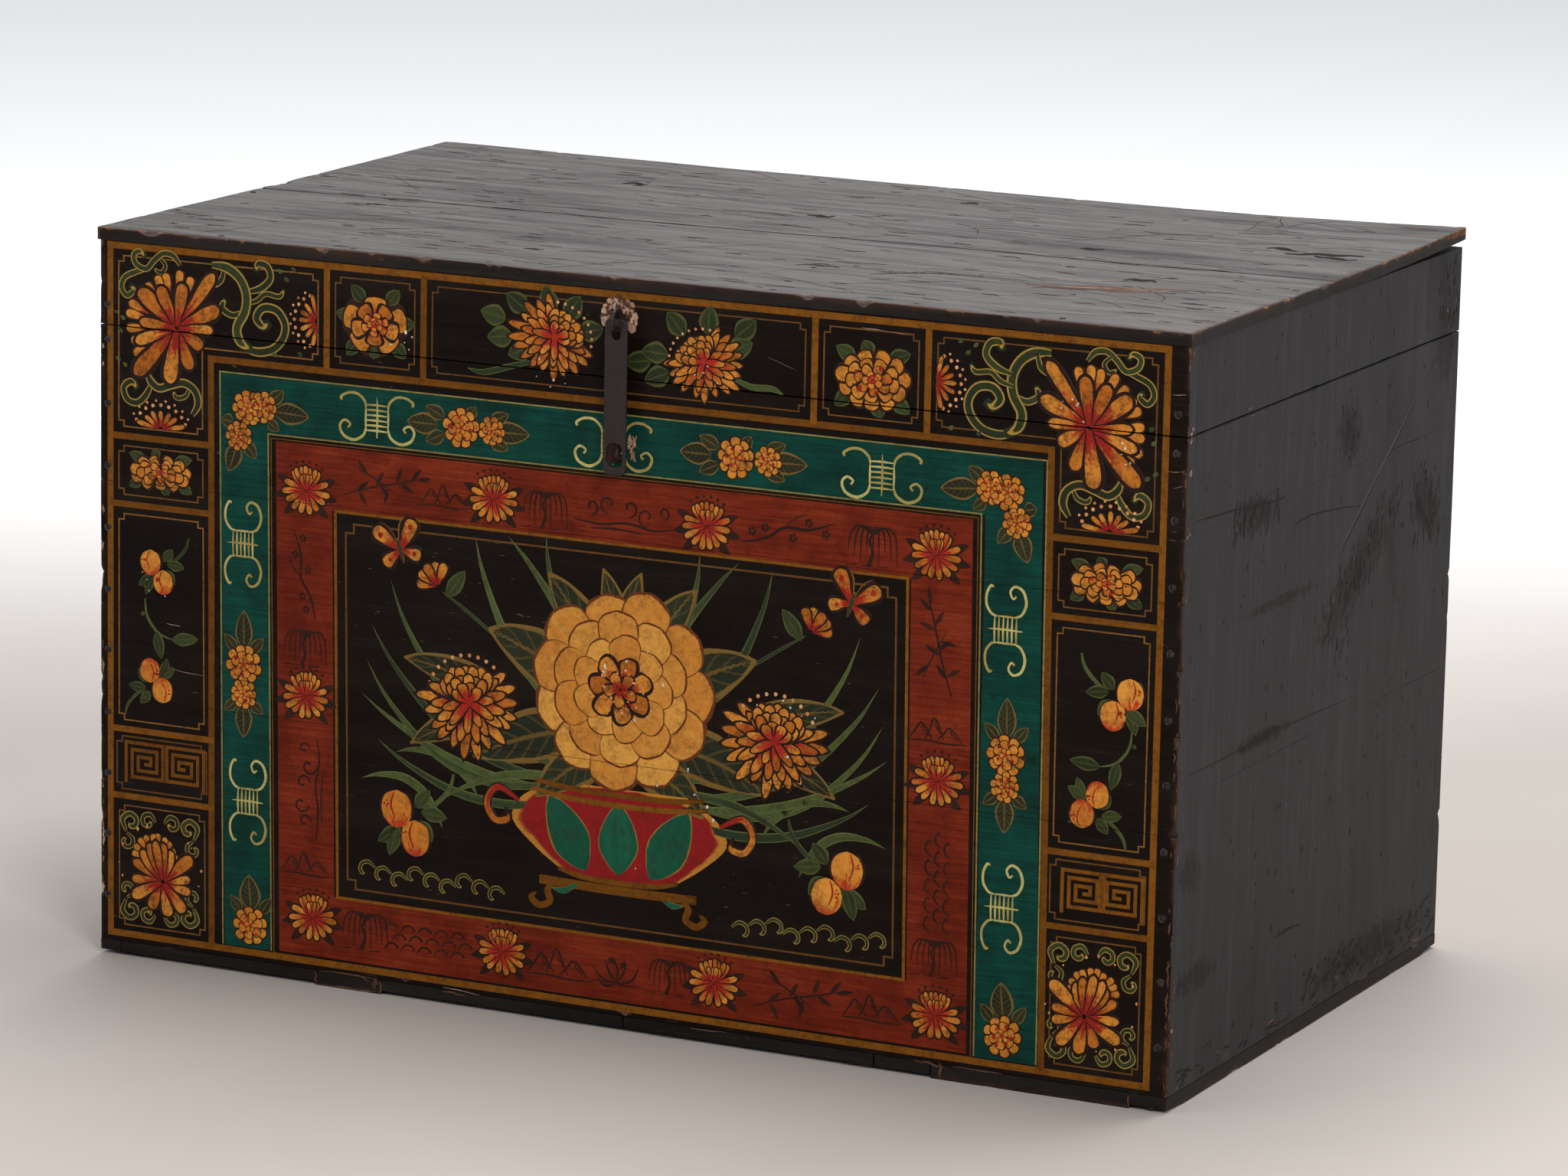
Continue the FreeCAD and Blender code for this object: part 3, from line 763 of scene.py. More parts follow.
class Brush:
    """Collects the strokes of each paint: x to the right and z up, in millimetres."""

    def __init__(self, paint):
        self.paint = paint
        self.face = "front"
        self.work = {}
        self.chance = random.Random(paint.seed)
        self.draw = self.chance.uniform

    def add(self, name, points, halves, layer, smooth=True, closed=False):
        if self.face in FIELDS:
            wide, low, high = FIELDS[self.face]
            across, up = zip(*points)
            du, dv = inward(across, -wide, wide), inward(up, low, high)
            points = [(u + du, v + dv) for u, v in points]
        layer += 0.3 * self.chance.random()
        key = (self.face, name, smooth)
        self.work.setdefault(key, []).append((points, halves, layer, self.chance.random(), closed))

    def rule(self, name, points, half, layer=2, closed=False, lean=True):
        """A ruled line with sharp corners. It leans with the whole design."""
        drift = self.paint.lean / MM
        if lean:
            points = [(x + drift * max(0.0, 1 - (abs(x) / FRAME_SIDE) ** 4) * max(0.0, 1 - z / FRAME_TOP), z)
                      for x, z in points]
        halves = []
        for i, (x, z) in enumerate(points):
            before, after = Vector(points[i - 1]), Vector(points[(i + 1) % len(points)])
            here = Vector((x, z))
            inner = closed or 0 < i < len(points) - 1
            bent = (here - before).normalized().dot((after - here).normalized()) if inner else 1.0
            width = half[i] if isinstance(half, (list, tuple)) else half
            halves.append(width / math.sqrt(max(0.2, (1 + bent) / 2)))
        self.add(name, points, halves, layer, False, closed)

    def stroke(self, name, spot, points, half, layer, taper=None):
        """A free stroke through the points. Its half width swells and thins as taper says."""
        taper = taper or [0.5] + [1.0] * (len(points) - 2) + [0.3]
        scale = math.sqrt(abs(spot.wide * spot.tall))
        self.add(name, [spot.at(*p) for p in points], [half * t * scale for t in taper], layer)

    def petal(self, spot, angle, near, far, half, layer, name="petal", sway=0.0, taper=ROUND):
        angle += self.draw(-2.5, 2.5)
        far *= self.draw(0.95, 1.04)
        half *= 1.12
        steps = (0.0, 0.2, 0.48, 0.74, 0.92, 1.0)
        points = [polar(near + (far - near) * t, angle + sway * t * t) for t in steps]
        self.stroke(name, spot, points, half, layer, taper)

    def disc(self, name, spot, u, v, radius, layer, squash=1.0):
        steps = (-1.0, -0.85, -0.5, 0.0, 0.5, 0.85, 1.0)
        taper = [max(0.06, math.sqrt(1 - t * t)) for t in steps]
        self.stroke(name, spot, [(u, v + radius * squash * t) for t in steps], radius, layer, taper)

    def leaf(self, spot, root, tip, half, layer, name="leaf", bow=0.0):
        (a, b), (c, d) = root, tip
        points = []
        for t in (0.0, 0.12, 0.35, 0.6, 0.85, 1.0):
            lift = bow * 4 * t * (1 - t)
            points.append((a + (c - a) * t - (d - b) * lift, b + (d - b) * t + (c - a) * lift))
        self.stroke(name, spot, points, half, layer, (0.08, 0.55, 1.0, 0.92, 0.5, 0.06))

    def ring(self, spot, count, near, far, half, layer, name="petal", first=0.0, sweep=360.0, sway=0.0):
        for k in range(count):
            step = k / count if sweep == 360.0 else k / max(1, count - 1)
            self.petal(spot, first + sweep * step, near, far, half, layer + 0.35 * (k % 3), name, sway)

    def specks(self, name, spot, count, inner, outer, radius, layer):
        for k in range(count):
            u, v = polar(self.draw(inner, outer), 360 * k / count + self.draw(-12, 12))
            self.disc(name, spot, u, v, radius * self.draw(0.7, 1.25), layer, self.draw(0.7, 1.5))

    def scrape(self, name, u, v, run, way, half, layer=MARK_LAYER):
        """A ragged mark about a middle."""
        points, taper = [], []
        for t in (-0.5, -0.3, -0.1, 0.12, 0.32, 0.5):
            along, aside = polar(run * t, way), polar(half * self.draw(-0.8, 0.8), way + 90)
            points.append((u + along[0] + aside[0], v + along[1] + aside[1]))
            taper.append(self.draw(0.55, 1.0) * (1 - 1.7 * abs(t)) + 0.12)
        self.stroke(name, ORIGIN, points, half, layer, taper)

    def scatter(self, name, count, across, up, runs, ways, halves):
        """Marks strewn over a field."""
        for k in range(count):
            u, v, run, way, half = (self.draw(*span) for span in (across, up, runs, ways, halves))
            self.scrape(name, u, v, run, way, half)

    # Flowers, leaves and ornament

    def frame(self, corners, inset, half=0.6, notch=4.5):
        """The thin line inside a panel, with a small step cut into each corner."""
        points = []
        count = len(corners)
        for i, (x, z) in enumerate(corners):
            before, after = Vector(corners[i - 1]), Vector(corners[(i + 1) % count])
            here = Vector((x, z))
            back = (before - here).normalized()
            on = (after - here).normalized()
            square = back.x * on.y - back.y * on.x > 0
            middle = here + (back + on) * (inset if square else -inset)
            if square:
                points += [tuple(middle + back * notch), tuple(middle + (back + on) * notch),
                           tuple(middle + on * notch)]
            else:
                points.append(tuple(middle))
        self.rule("gold_line", points, half, 2, True)

    def daisy(self, spot):
        """The big open flower in an upper corner."""
        rays = ((128, 58, 7), (153, 44, 8), (177, 33, 5.5), (208, 28, 7), (248, 36, 7.4), (276, 47, 9),
                (313, 58, 9), (339, 42, 6.5), (5, 35, 5.5), (37, 44, 9), (65, 36, 7.4), (98, 39, 7.4))
        for k, angle in enumerate(range(-34, 120, 14)):
            self.petal(spot, angle, 26, 45, 4.6, 4 + 0.4 * (k % 2), "pale_petal")
        for k, (angle, far, half) in enumerate(rays):
            self.petal(spot, angle, 2, far, half, 6 + 0.5 * (k % 3))
        self.specks("red_spot", spot, 6, 1, 4, 1.3, 8)
        self.disc("ink", spot, 0, 0, 1.6, 9)

    def half_flower(self, spot, facing, far=17):
        """Half a flower that grows out of a panel's edge, with dots round it."""
        for k, angle in enumerate(range(-78, 79, 26)):
            self.petal(spot, facing + angle, 2, far * (1.25 if abs(angle) > 70 else 1.0), 2.4,
                       4 + 0.4 * (k % 2))
        for row, reach in enumerate((far + 3, far + 6.5)):
            for angle in range(-72 + 9 * row, 73, 18):
                u, v = polar(reach, facing + angle)
                self.disc("dot", spot, u, v, 1.4 - 0.4 * row, 4)

    def camellia(self, spot, layer=5):
        """An open flower of five broad petals, with leaves at its corners."""
        for u, v, c, d in ((-10, 18, -22, 32), (10, 18, 22, 31), (-20, 4, -36, 8), (20, 2, 36, 4),
                           (-16, -14, -26, -28), (16, -14, 28, -26), (0, -18, -2, -29)):
            self.leaf(spot, (u, v), (c, d), 6.6, layer - 1)
        wide = Spot(spot.x, spot.z, spot.wide * 1.2, spot.tall * 0.95)
        self.ring(wide, 5, 5, 26, 12.5, layer, "pale_petal", 18)
        self.ring(wide, 5, 3, 19, 9, layer + 1.4, "petal", 54)
        self.ring(wide, 6, 2, 11, 4.6, layer + 2.8, "flame", 20)
        self.ring(wide, 5, 0.5, 6, 2.8, layer + 4.2, "pale_petal", 40)
        self.stroke("red_spot", wide, spiral(0, 0, 4.2, 1.0, 20, 420), 0.7, layer + 5.4)

    def peony(self, spot, layer=5):
        """A full blown flower, 62 wide and 45 high at its own size, with round leaves at its corners."""
        for u, v, c, d in ((-14, 14, -30, 23), (12, 16, 30, 22), (-18, -10, -30, -21), (16, -12, 30, -22),
                           (-2, 18, -8, 29), (2, -16, 8, -27)):
            self.leaf(spot, (u, v), (c, d), 6.4, layer - 1)
        wide = Spot(spot.x, spot.z, spot.wide * 1.24, spot.tall * 0.92)
        self.ring(wide, 11, 5, 25, 7.2, layer, "pale_petal", 8)
        self.ring(wide, 9, 4, 18.5, 6.2, layer + 1.4, "pale_petal", 27)
        self.ring(wide, 7, 2, 12.5, 5.0, layer + 2.8, "petal", 10, sway=14)
        self.specks("red_spot", wide, 5, 10, 13, 1.7, layer + 4.2)
        self.ring(wide, 5, 0.5, 7, 3.2, layer + 4.6, "pale_petal", 40)
        self.stroke("red_spot", wide, spiral(0, 0, 4.4, 1.0, 20, 420), 0.7, layer + 6)

    def chrysanthemum(self, spot, far, facing, layer=5):
        """A flower of many pointed petals: a wide skirt, and a round heart that leans the other way."""
        root = far * 0.02
        skirt = ((15, 1.0, 0.135, "petal"), (11, 0.78, 0.13, "flame"), (8, 0.54, 0.11, "flame"))
        for row, (count, reach, half, name) in enumerate(skirt):
            for k in range(count):
                angle = facing + 62 + 236 * k / (count - 1)
                length = far * reach * self.draw(0.86, 1.06)
                over = layer + 1.3 * row + 0.3 * (k % 3)
                self.petal(spot, angle, root, length, far * half, over, name, 0.0, POINTED)
        heart = ((8, 0.64, "pale_petal"), (6, 0.48, "petal"), (4, 0.32, "flame"))
        for row, (count, reach, name) in enumerate(heart):
            for k in range(count):
                angle = facing - 64 + 128 * k / (count - 1)
                over = layer + 3.4 + 1.2 * row + 0.3 * (k % 2)
                self.petal(spot, angle, root, far * reach, far * 0.125, over, name, (facing - angle) * 0.35)
        self.disc("red_spot", spot, 0, 0, far * 0.08, layer + 7)
        for k in range(11):
            u, v = polar(far * 0.77, facing - 60 + 12 * k)
            self.disc("dot", spot, u, v, far * 0.034, layer)

    def small_flower(self, spot):
        """The open flower on the red band: spread petals below, a cup of upright ones above."""
        for a, b, c, d in ((12, 4, 25, 10), (13, -3, 27, -6), (9, -11, 19, -20)):
            for side in (-1, 1):
                self.leaf(spot, (side * a, b), (side * c, d), 3.6, 4, "ink")
        for k, angle in enumerate((162, 186, 209, 232, 256, 281, 306, 330, 354, 18)):
            self.petal(spot, angle, 2, 22 - 2.5 * abs(math.sin(math.radians(angle))), 3.5, 5 + 0.4 * (k % 3),
                       "flame" if k % 2 else "petal")
        for k in range(7):
            angle = 39 + k * 17
            self.petal(spot, angle, 2, 20, 2.8, 6.6 + 0.4 * (k % 2), "flame", (90 - angle) * 0.3)
        for k in range(4):
            angle = 57 + k * 22
            self.petal(spot, angle, 1, 13, 2.5, 7.8 + 0.4 * (k % 2), "flame", (90 - angle) * 0.5)
        for k in range(6):
            u, v = polar(22.5, 52 + k * 15)
            self.disc("ink", spot, u, v, 1.2, 5)

    def rosette(self, spot, radius, layer=6):
        """A round cluster of small gold petals with red specks."""
        unit = Spot(spot.x, spot.z, spot.wide * radius / 15, spot.tall * radius / 15, self.draw(0, 60))
        self.ring(unit, 9, 3, 15, 4.7, layer, "pale_petal")
        self.ring(unit, 6, 1, 10.5, 4.2, layer + 1.4, "pale_petal", 20)
        self.specks("red_spot", unit, 6, 6, 8, 1.5, layer + 2.6)
        self.ring(unit, 5, 0.4, 5, 2.2, layer + 2.8, "pale_petal", 30)
        self.disc("red_spot", unit, 0, 0, 0.9, layer + 4)

    def spray(self, spot, blooms, leaves):
        """Rosettes with outlined leaves, on the teal band."""
        for root, tip, half in leaves:
            self.leaf(spot, root, tip, half, 4, "dark_leaf")
        for u, v, radius in blooms:
            x, z = spot.at(u, v)
            self.rosette(Spot(x, z), radius)

    def lotus(self, spot, aside):
        """The flower in a bottom corner, with curls and dots in the corners of its panel."""
        root = Spot(*spot.at(aside, -10), spot.wide, spot.tall)
        behind = Spot(*root.at(-7, 17), spot.wide, spot.tall)
        for k in range(10):
            self.petal(behind, 14 + 17 * k, 13, 24, 3.6, 5 + 0.3 * (k % 2), "pale_petal")
        rays = ((151, 34, 5.8), (180, 31, 5.4), (209, 37, 7.4), (245, 29, 7), (280, 32, 7.6), (313, 35, 7.6),
                (345, 30, 5.6), (12, 29, 5.2), (42, 41, 8))
        for k, (angle, far, half) in enumerate(rays):
            self.petal(root, angle, 2, far, half, 6 + 0.4 * (k % 3))
        for k, (angle, far) in enumerate(((138, 34), (121, 36), (104, 36), (84, 34), (64, 30))):
            self.petal(root, angle, 2, far, 5.4, 7.6 + 0.5 * (2 - abs(k - 2)), "petal", (98 - angle) * 0.3)
        for side in (-1, 1):
            for level in (-1, 1):
                corner = Spot(spot.x + side * 25, spot.z + level * 34, side, level)
                self.stroke("scroll", corner, spiral(1, 1, 9, 2, -60, 420), 2.8, 3)
                self.stroke("scroll", corner, spiral(-14, 3, 7, 2, 180, -400), 2.4, 3)
                self.stroke("scroll", corner, spiral(5, -15, 7, 1.5, 90, 380), 2.2, 3)
        self.specks("dot", spot, 14, 37, 41, 1.0, 4)

    def peaches(self, spot, layer=4):
        """Two peaches on a leafy twig."""
        self.stroke("blade", spot, [(-30, 34), (-27, 24), (-18, 14), (-8, 8)], 1.5, layer)
        for root, tip in (((-8, 8), (-26, 6)), ((-4, 10), (-14, 22)), ((6, -4), (22, -14)),
                          ((8, -2), (14, -22)), ((-6, 2), (-16, -10))):
            self.leaf(spot, root, tip, 5.2, layer + 0.5)
        for u, v, radius in ((9, 8, 12.5), (-4, -9, 12)):
            self.disc("fruit", spot, u, v, radius, layer + 2 + 0.2 * u, 0.96)
            cleft = [(u + 2, v + radius * 0.8), (u + 4, v + 2), (u + 1, v - radius * 0.5)]
            self.stroke("red_spot", spot, cleft, 0.7, layer + 6)
            self.specks("red_spot", Spot(*spot.at(u + radius * 0.55, v + 2), 1, 1), 4, 0, 3, 0.9, layer + 6)

    def twig(self, spot, layer=4):
        """A curved stem with two leaves."""
        self.stroke("blade", spot, [(12, 24), (10, 10), (0, -2), (-14, -6)], 1.1, layer)
        self.leaf(spot, (-12, -6), (-36, -3), 5.4, layer + 1)
        self.leaf(spot, (2, -1), (-3, -22), 5.0, layer + 1)
        self.disc("leaf", spot, 14, 12, 1.8, layer)

    def fret(self, spot, side):
        """A square spiral."""
        points = []
        u, v = 0.0, 0.0
        for way, run in ((90, 32), (0, 33), (-90, 27), (180, 27.6), (90, 21.6), (0, 22.2), (-90, 16.2),
                         (180, 16.8), (90, 10.8), (0, 11.4), (-90, 5.4), (180, 6)):
            points.append((spot.x + side * u, spot.z + v))
            du, dv = polar(run, way)
            u, v = u + du, v + dv
        self.rule("ochre", points + [(spot.x + side * u, spot.z + v)], 1.5, 3, False, False)

    def ladder(self, spot):
        """Four hooked scrolls round a small ladder, in pale gold."""
        for side in (-1, 1):
            hook = spot.flipped(side)
            upper = [(9.5, 8), (11, 13), (17, 17.5), (25, 17.5), (31, 14), (30, 11.5)]
            lower = [(9.5, -8), (12, -14), (20, -18), (29, -15), (32, -8), (28, -3.5), (23, -6), (25, -9)]
            self.stroke("pale_scroll", hook, upper, 1.1, 4, (0.8, 1, 1, 1, 1.1, 1.3))
            self.stroke("pale_scroll", hook, lower, 1.15, 4, (0.8, 1, 1.1, 1.1, 1, 0.9, 0.9, 1.1))
            self.stroke("pale_scroll", hook, [(9.5, -10), (9.7, 0), (9.5, 10)], 0.9, 4.2)
        for k in range(6):
            v = (k - 2.5) * 3.9
            self.stroke("pale_scroll", spot, [(-10.5, v), (0, v + 0.3), (10.5, v)], 0.95, 4.6)
        self.stroke("pale_scroll", spot, [(0, -15), (0.3, 0), (0, 16)], 0.95, 5)

    def vine(self, spot, layer=3):
        """The green scrolls beside a corner flower; its own right is the right corner's."""
        curls = (
            (4.8, (-31, 51), (-44, 50), (-55, 43), (-61, 31), (-60, 18), (-53, 5), (-56, -6), (-66, -11)),
            (4.2, (-56, -8), (-70, -12), (-84, -9), (-93, 0), (-95, 11), (-88, 21), (-76, 22), (-70, 14),
             (-76, 8), (-82, 12)),
            (3.6, (-62, 33), (-74, 37), (-82, 45), (-79, 54), (-71, 55), (-70, 49)),
            (3.2, (-59, 18), (-49, 14), (-40, 19), (-43, 26)),
            (3.0, (-42, 50), (-39, 40), (-31, 36), (-27, 42)),
            (2.6, (-60, 24), (-70, 27), (-78, 33), (-90, 32), (-94, 38)),
            (3.0, (-3, 48), (3, 55), (12, 56), (20, 50), (27, 43), (36, 46), (38, 53), (32, 56), (28, 51)),
            (3.0, (24, 44), (36, 40), (46, 35), (49, 27), (44, 21), (38, 26), (42, 29)),
            (2.2, (16, 53), (10, 47), (14, 41), (20, 44)),
            (4.0, (-14, -66), (-19, -57), (-16, -47), (-6, -42), (6, -45), (16, -48), (24, -42), (26, -32)),
            (2.4, (-12, -44), (-8, -52), (0, -54), (3, -49)),
            (3.4, (22, -44), (27, -54), (35, -61), (44, -59), (47, -50), (40, -45), (35, -51)))
        for half, *points in curls:
            self.stroke("scroll", spot, points, half, layer, [0.6] + [1] * (len(points) - 2) + [0.75])
        for u, v in ((-104, 52), (-98, 44), (-92, 50), (-88, -14), (-110, -12), (46, 2), (48, -8),
                     (50, -30), (44, -34)):
            self.leaf(spot, (u, v), (u + 4, v + 3), 1.6, layer, "blade")

    # Ink on the red band

    def inked(self, spot, points, half, taper=None):
        self.stroke("ink", spot, points, half, 3, taper)

    def bamboo(self, spot):
        self.inked(spot, [(-40, -14), (-10, -4), (24, 4), (44, 10)], 1.0)
        self.inked(spot, [(-26, 14), (-8, 6), (18, -8)], 0.8)
        for u, v, way in ((-24, -8, 40), (-22, -9, -60), (-4, -1, 60), (0, 0, -50), (18, 4, 70),
                          (22, 3, -30), (34, 7, 50), (-14, 9, 130), (8, -3, -100), (40, 8, 10)):
            c, d = polar(15, way)
            self.leaf(spot, (u, v), (u + c, v + d), 2.2, 3.4, "ink")

    def clouds(self, spot):
        for u, v, size, way in ((-30, 2, 7, 1), (-14, 6, 9, -1), (6, 4, 8, 1), (22, -2, 9, -1),
                                (38, 3, 6, 1)):
            self.inked(spot, spiral(u, v, size, 1.5, -90, 330 * way, 8), 1.05)
        self.inked(spot, [(-46, -10), (-20, -12), (4, -9), (28, -13), (48, -10)], 1.0)
        self.inked(spot, [(-30, -16), (-6, -15), (20, -17)], 0.9)

    def waves(self, spot):
        for row in range(3):
            for k in range(-2, 3):
                u, v = k * 17 + (row % 2) * 8, row * 9 - 12
                crest = [(u - 9, v), (u - 5, v + 5), (u, v + 6), (u + 5, v + 3), (u + 3, v + 1)]
                self.inked(spot, crest, 1.0)

    def orchid(self, spot):
        for way, reach, bow in ((150, 34, 0.2), (118, 30, 0.1), (95, 26, -0.1), (70, 30, -0.15),
                                (40, 36, -0.25), (170, 26, 0.3)):
            c, d = polar(reach, way)
            self.leaf(spot, (0, -16), (c, -16 + d), 1.4, 3, "ink", bow)
        for u, v in ((-6, 8), (9, 4)):
            for way in (30, 90, 150, 215, 325):
                c, d = polar(6, way)
                self.leaf(spot, (u, v), (u + c, v + d), 1.4, 3.4, "ink")
        self.inked(spot, [(-30, -18), (-8, -17), (12, -19), (32, -17)], 0.8)

    def plum(self, spot):
        self.inked(spot, [(-44, -12), (-22, -6), (-6, 4), (16, 4), (40, 12)], 1.4)
        self.inked(spot, [(-6, 4), (4, 13), (14, 17)], 0.9)
        for u, v in ((-24, 2), (2, -4), (16, 10), (32, 2), (-36, -2)):
            for k in range(5):
                c, d = polar(2.6, 72 * k)
                self.disc("ink", spot, u + c, v + d, 1.5, 3.4)

    def hills(self, spot):
        for u, v, wide, high in ((-24, -14, 17, 22), (-4, -14, 14, 30), (18, -14, 18, 18)):
            peak = [(u - wide, v), (u - wide * 0.5, v + high * 0.5), (u - 1, v + high),
                    (u + wide * 0.5, v + high * 0.6), (u + wide, v)]
            self.inked(spot, peak, 1.5)
            for k in range(3):
                upper = (u + 1 + 3 * k, v + high * (0.8 - 0.2 * k))
                lower = (u + 4 + 4 * k, v + high * (0.45 - 0.12 * k))
                self.inked(spot, [upper, lower], 1.2, (0.8, 0.5))
        self.inked(spot, [(-44, -17), (-14, -16), (16, -18), (44, -16)], 1.3)

    def willow(self, spot):
        self.inked(spot, [(-4, -18), (0, -6), (-3, 4), (4, 14)], 1.5, (1.2, 1, 0.8, 0.4))
        for k in range(9):
            u = -20 + 5 * k
            drop = 16 + 5 * (k % 3)
            self.inked(spot, [(0, 8 + k % 2), (u * 0.6, 15), (u, 8), (u * 1.1, 10 - drop)], 0.8)
        for k in range(3):
            self.inked(spot, [(-24 + 14 * k, -18), (-14 + 14 * k, -17)], 0.7, (0.5, 0.9))

    # The middle picture: a basin of flowers

    def butterfly(self, spot):
        for side in (-1, 1):
            half = spot.flipped(side)
            self.petal(half, 48, 2, 32, 9, 6)
            self.petal(half, -28, 2, 22, 7.5, 5.4)
            self.disc("red_spot", half, 15, 16, 2.6, 8)
            self.disc("red_spot", half, 12, -6, 1.9, 8)
            self.stroke("gold_line", half, [(1, 8), (5, 20), (12, 27)], 0.6, 7)
        self.stroke("dark_leaf", spot, [(0, -12), (0, -4), (0, 4), (0, 10)], 2.2, 9, (0.3, 1, 1, 0.6))

    def basin(self, spot):
        body = [(0, -30), (0, -27), (0, -14), (0, 4), (0, 20), (0, 30), (0, 36)]
        self.stroke("crimson", spot, body, 84, 4, (0.5, 0.55, 0.78, 1.0, 0.93, 0.76, 0.72))
        for side in (-1, 0, 1):
            self.leaf(spot, (side * 24, -26), (side * 52, 26), 17, 5.4, "teal_stroke")
        for v, reach, dip in ((35, 62, 3), (29, 65, 4), (-27, 44, 4)):
            rim = [(-reach, v), (-reach * 0.6, v - dip), (0, v - dip * 1.3), (reach * 0.6, v - dip),
                   (reach, v)]
            self.stroke("ochre", spot, rim, 2.2, 8, (0.7, 1, 1, 1, 0.7))
        self.stroke("ochre", spot, [(-58, -37), (0, -38), (58, -37)], 3.4, 6, (1, 1, 1))
        for side in (-1, 1):
            foot = spot.flipped(side)
            claw = [(46, -37), (52, -44), (50, -52), (58, -56), (64, -51), (60, -47)]
            self.stroke("ochre", foot, claw, 2.6, 6.4)
            self.stroke("teal_stroke", foot, [(30, -37), (40, -43), (48, -42)], 2.4, 6)
            self.stroke("petal", foot, [(74, 18), (90, 26), (98, 14), (92, 2), (82, 4), (84, 12)], 3.6, 5)

    def picture(self, x, z):
        """A footed basin of flowers between two butterflies, with fruit on the ground."""
        for side in (-1, 1):
            half = Spot(x, z, side, 1)
            for root, tip, bow in (((20, -40), (212, 62), -0.16), ((22, -30), (196, 98), -0.18),
                                   ((16, -10), (124, 140), -0.12), ((8, 20), (64, 146), -0.1),
                                   ((30, -46), (220, 8), -0.1), ((34, -50), (206, -26), -0.14),
                                   ((120, -60), (190, -34), 0.2), ((150, -88), (220, -58), 0.25),
                                   ((14, 10), (96, 142), 0.06), ((26, -34), (216, 34), -0.22),
                                   ((20, -44), (150, -66), 0.12)):
                self.leaf(half, root, tip, 3.8, 3, "blade", bow)
            for root, tip, half_width in (((20, 20), (112, 70), 23), ((28, 0), (124, -30), 21),
                                          ((10, 30), (62, 118), 19), ((4, -10), (70, -54), 18),
                                          ((90, 10), (184, 40), 14), ((92, 6), (178, -26), 13),
                                          ((2, 40), (16, 126), 14)):
                self.leaf(half, root, tip, half_width, 4 + 0.01 * half_width, "dark_leaf", 0.06)
            flower = Spot(x + side * 128, z + 12, side, 1.0, side * -12)
            self.chrysanthemum(flower, 46, 90, 5.5)
            self.stroke("blade", half, [(70, 40), (126, 78), (152, 94)], 1.5, 4)
            self.ring(Spot(*half.at(156, 98), side * 0.95, 0.95), 5, 1, 20, 5.5, 5, "petal", 0, 110)
            self.leaf(half, (148, 90), (132, 112), 6.5, 5.6)
            self.butterfly(Spot(x + side * 188, z + 122, 0.9, 0.9, side * -18))
            self.peaches(Spot(x + side * 178, z - 88, side * 1.25, 1.25))
            for k in range(9):
                u = 104 + k * 14
                self.stroke("scroll", half, spiral(u, -136 + 3 * (k % 3), 9, 2, 160, -250, 6), 1.8, 3.5)
        self.basin(Spot(x, z - 78, 1.14, 1.06))
        big = Spot(x, z + 36, 1.0, 0.98)
        self.ring(big, 11, 14, 78, 21, 6, "cream_petal", 4)
        self.ring(big, 10, 10, 60, 18, 7.4, "cream_petal", 20)
        self.ring(big, 9, 6, 42, 14, 8.8, "cream_petal", 0, sway=8)
        self.ring(big, 7, 3, 27, 10, 10.2, "petal", 14, sway=12)
        self.ring(big, 5, 1, 14, 6, 11.6, "petal", 40, sway=18)
        self.specks("dot", big, 16, 10, 19, 1.1, 13.2)
        self.specks("red_spot", big, 8, 2, 7, 1.3, 13.2)


def ruled_design(brush):
    """The coloured bands and every ruled line."""
    brush.rule("teal", [(-323, 21.7), (-323, 447), (316.5, 447), (316.5, 21.7)], [21, 22, 23.5, 25.5], 0)
    brush.rule("brick", [(-271, 47), (260, 47), (260, 396), (-271, 396)], 25.6, 0, True)
    for points in ([(-344, 21.7), (-344, 469), (342, 469), (342, 21.7)],
                   [(-302, 21.7), (-302, 425), (291, 425), (291, 21.7)]):
        brush.rule("olive_line", points, 0.65, 1.4)
    for points, closed in (
            ([(-441, 18), (433, 18), (433, 558), (-441, 558)], True),
            ([(-441, 411), (-352, 411), (-352, 478), (345, 477), (345, 414), (433, 414)], False),
            ([(-251, 478), (-251, 558)], False), ([(-168, 478), (-168, 558)], False),
            ([(156, 477), (156, 558)], False), ([(246.6, 477), (246.6, 558)], False),
            ([(-352, 411), (-354, 18)], False), ([(345, 414), (346, 18)], False)):
        brush.rule("ochre", points, 2.8, 2, closed)
    for left, right in ((358, 356.5), (181, 183.5), (128, 128)):
        brush.rule("ochre", [(-441, left), (-351, left)], 2.6, 2.4)
        brush.rule("ochre", [(345, right), (433, right)], 2.6, 2.4)
    for points, half in (([(-244, 71.5), (233, 71.5), (233, 371.5), (-244, 371.5)], 1.3),
                         ([(-299.5, 20.5), (288.5, 20.5), (288.5, 422), (-299.5, 422)], 0.35)):
        brush.rule("ochre", points, half, 2, True)
    for left, low, right, high in ((-251, 478, -168, 558), (-168, 478, 156, 558), (156, 478, 246.6, 558),
                                   (-441, 358, -352, 411), (-441, 181, -352, 358), (-441, 128, -352, 181),
                                   (-441, 18, -352, 128), (345, 356.5, 433, 414), (345, 183.5, 433, 356.5),
                                   (345, 128, 433, 183.5), (345, 18, 433, 128)):
        brush.frame([(left, low), (left, high), (right, high), (right, low)], 5.6 if low == 128 else 7.5)
    brush.frame([(-441, 411), (-441, 558), (-251, 558), (-251, 478), (-352, 478), (-352, 411)], 7.5)
    brush.frame([(433, 414), (345, 414), (345, 478), (246.6, 478), (246.6, 558), (433, 558)], 7.5)
    brush.frame([(-242, 73), (-242, 370), (231, 370), (231, 73)], 7, 0.8, 7)
    for x, side in ((-427, 1), (-357.5, -1), (363, 1), (426, -1)):
        brush.fret(Spot(x, 139), side)


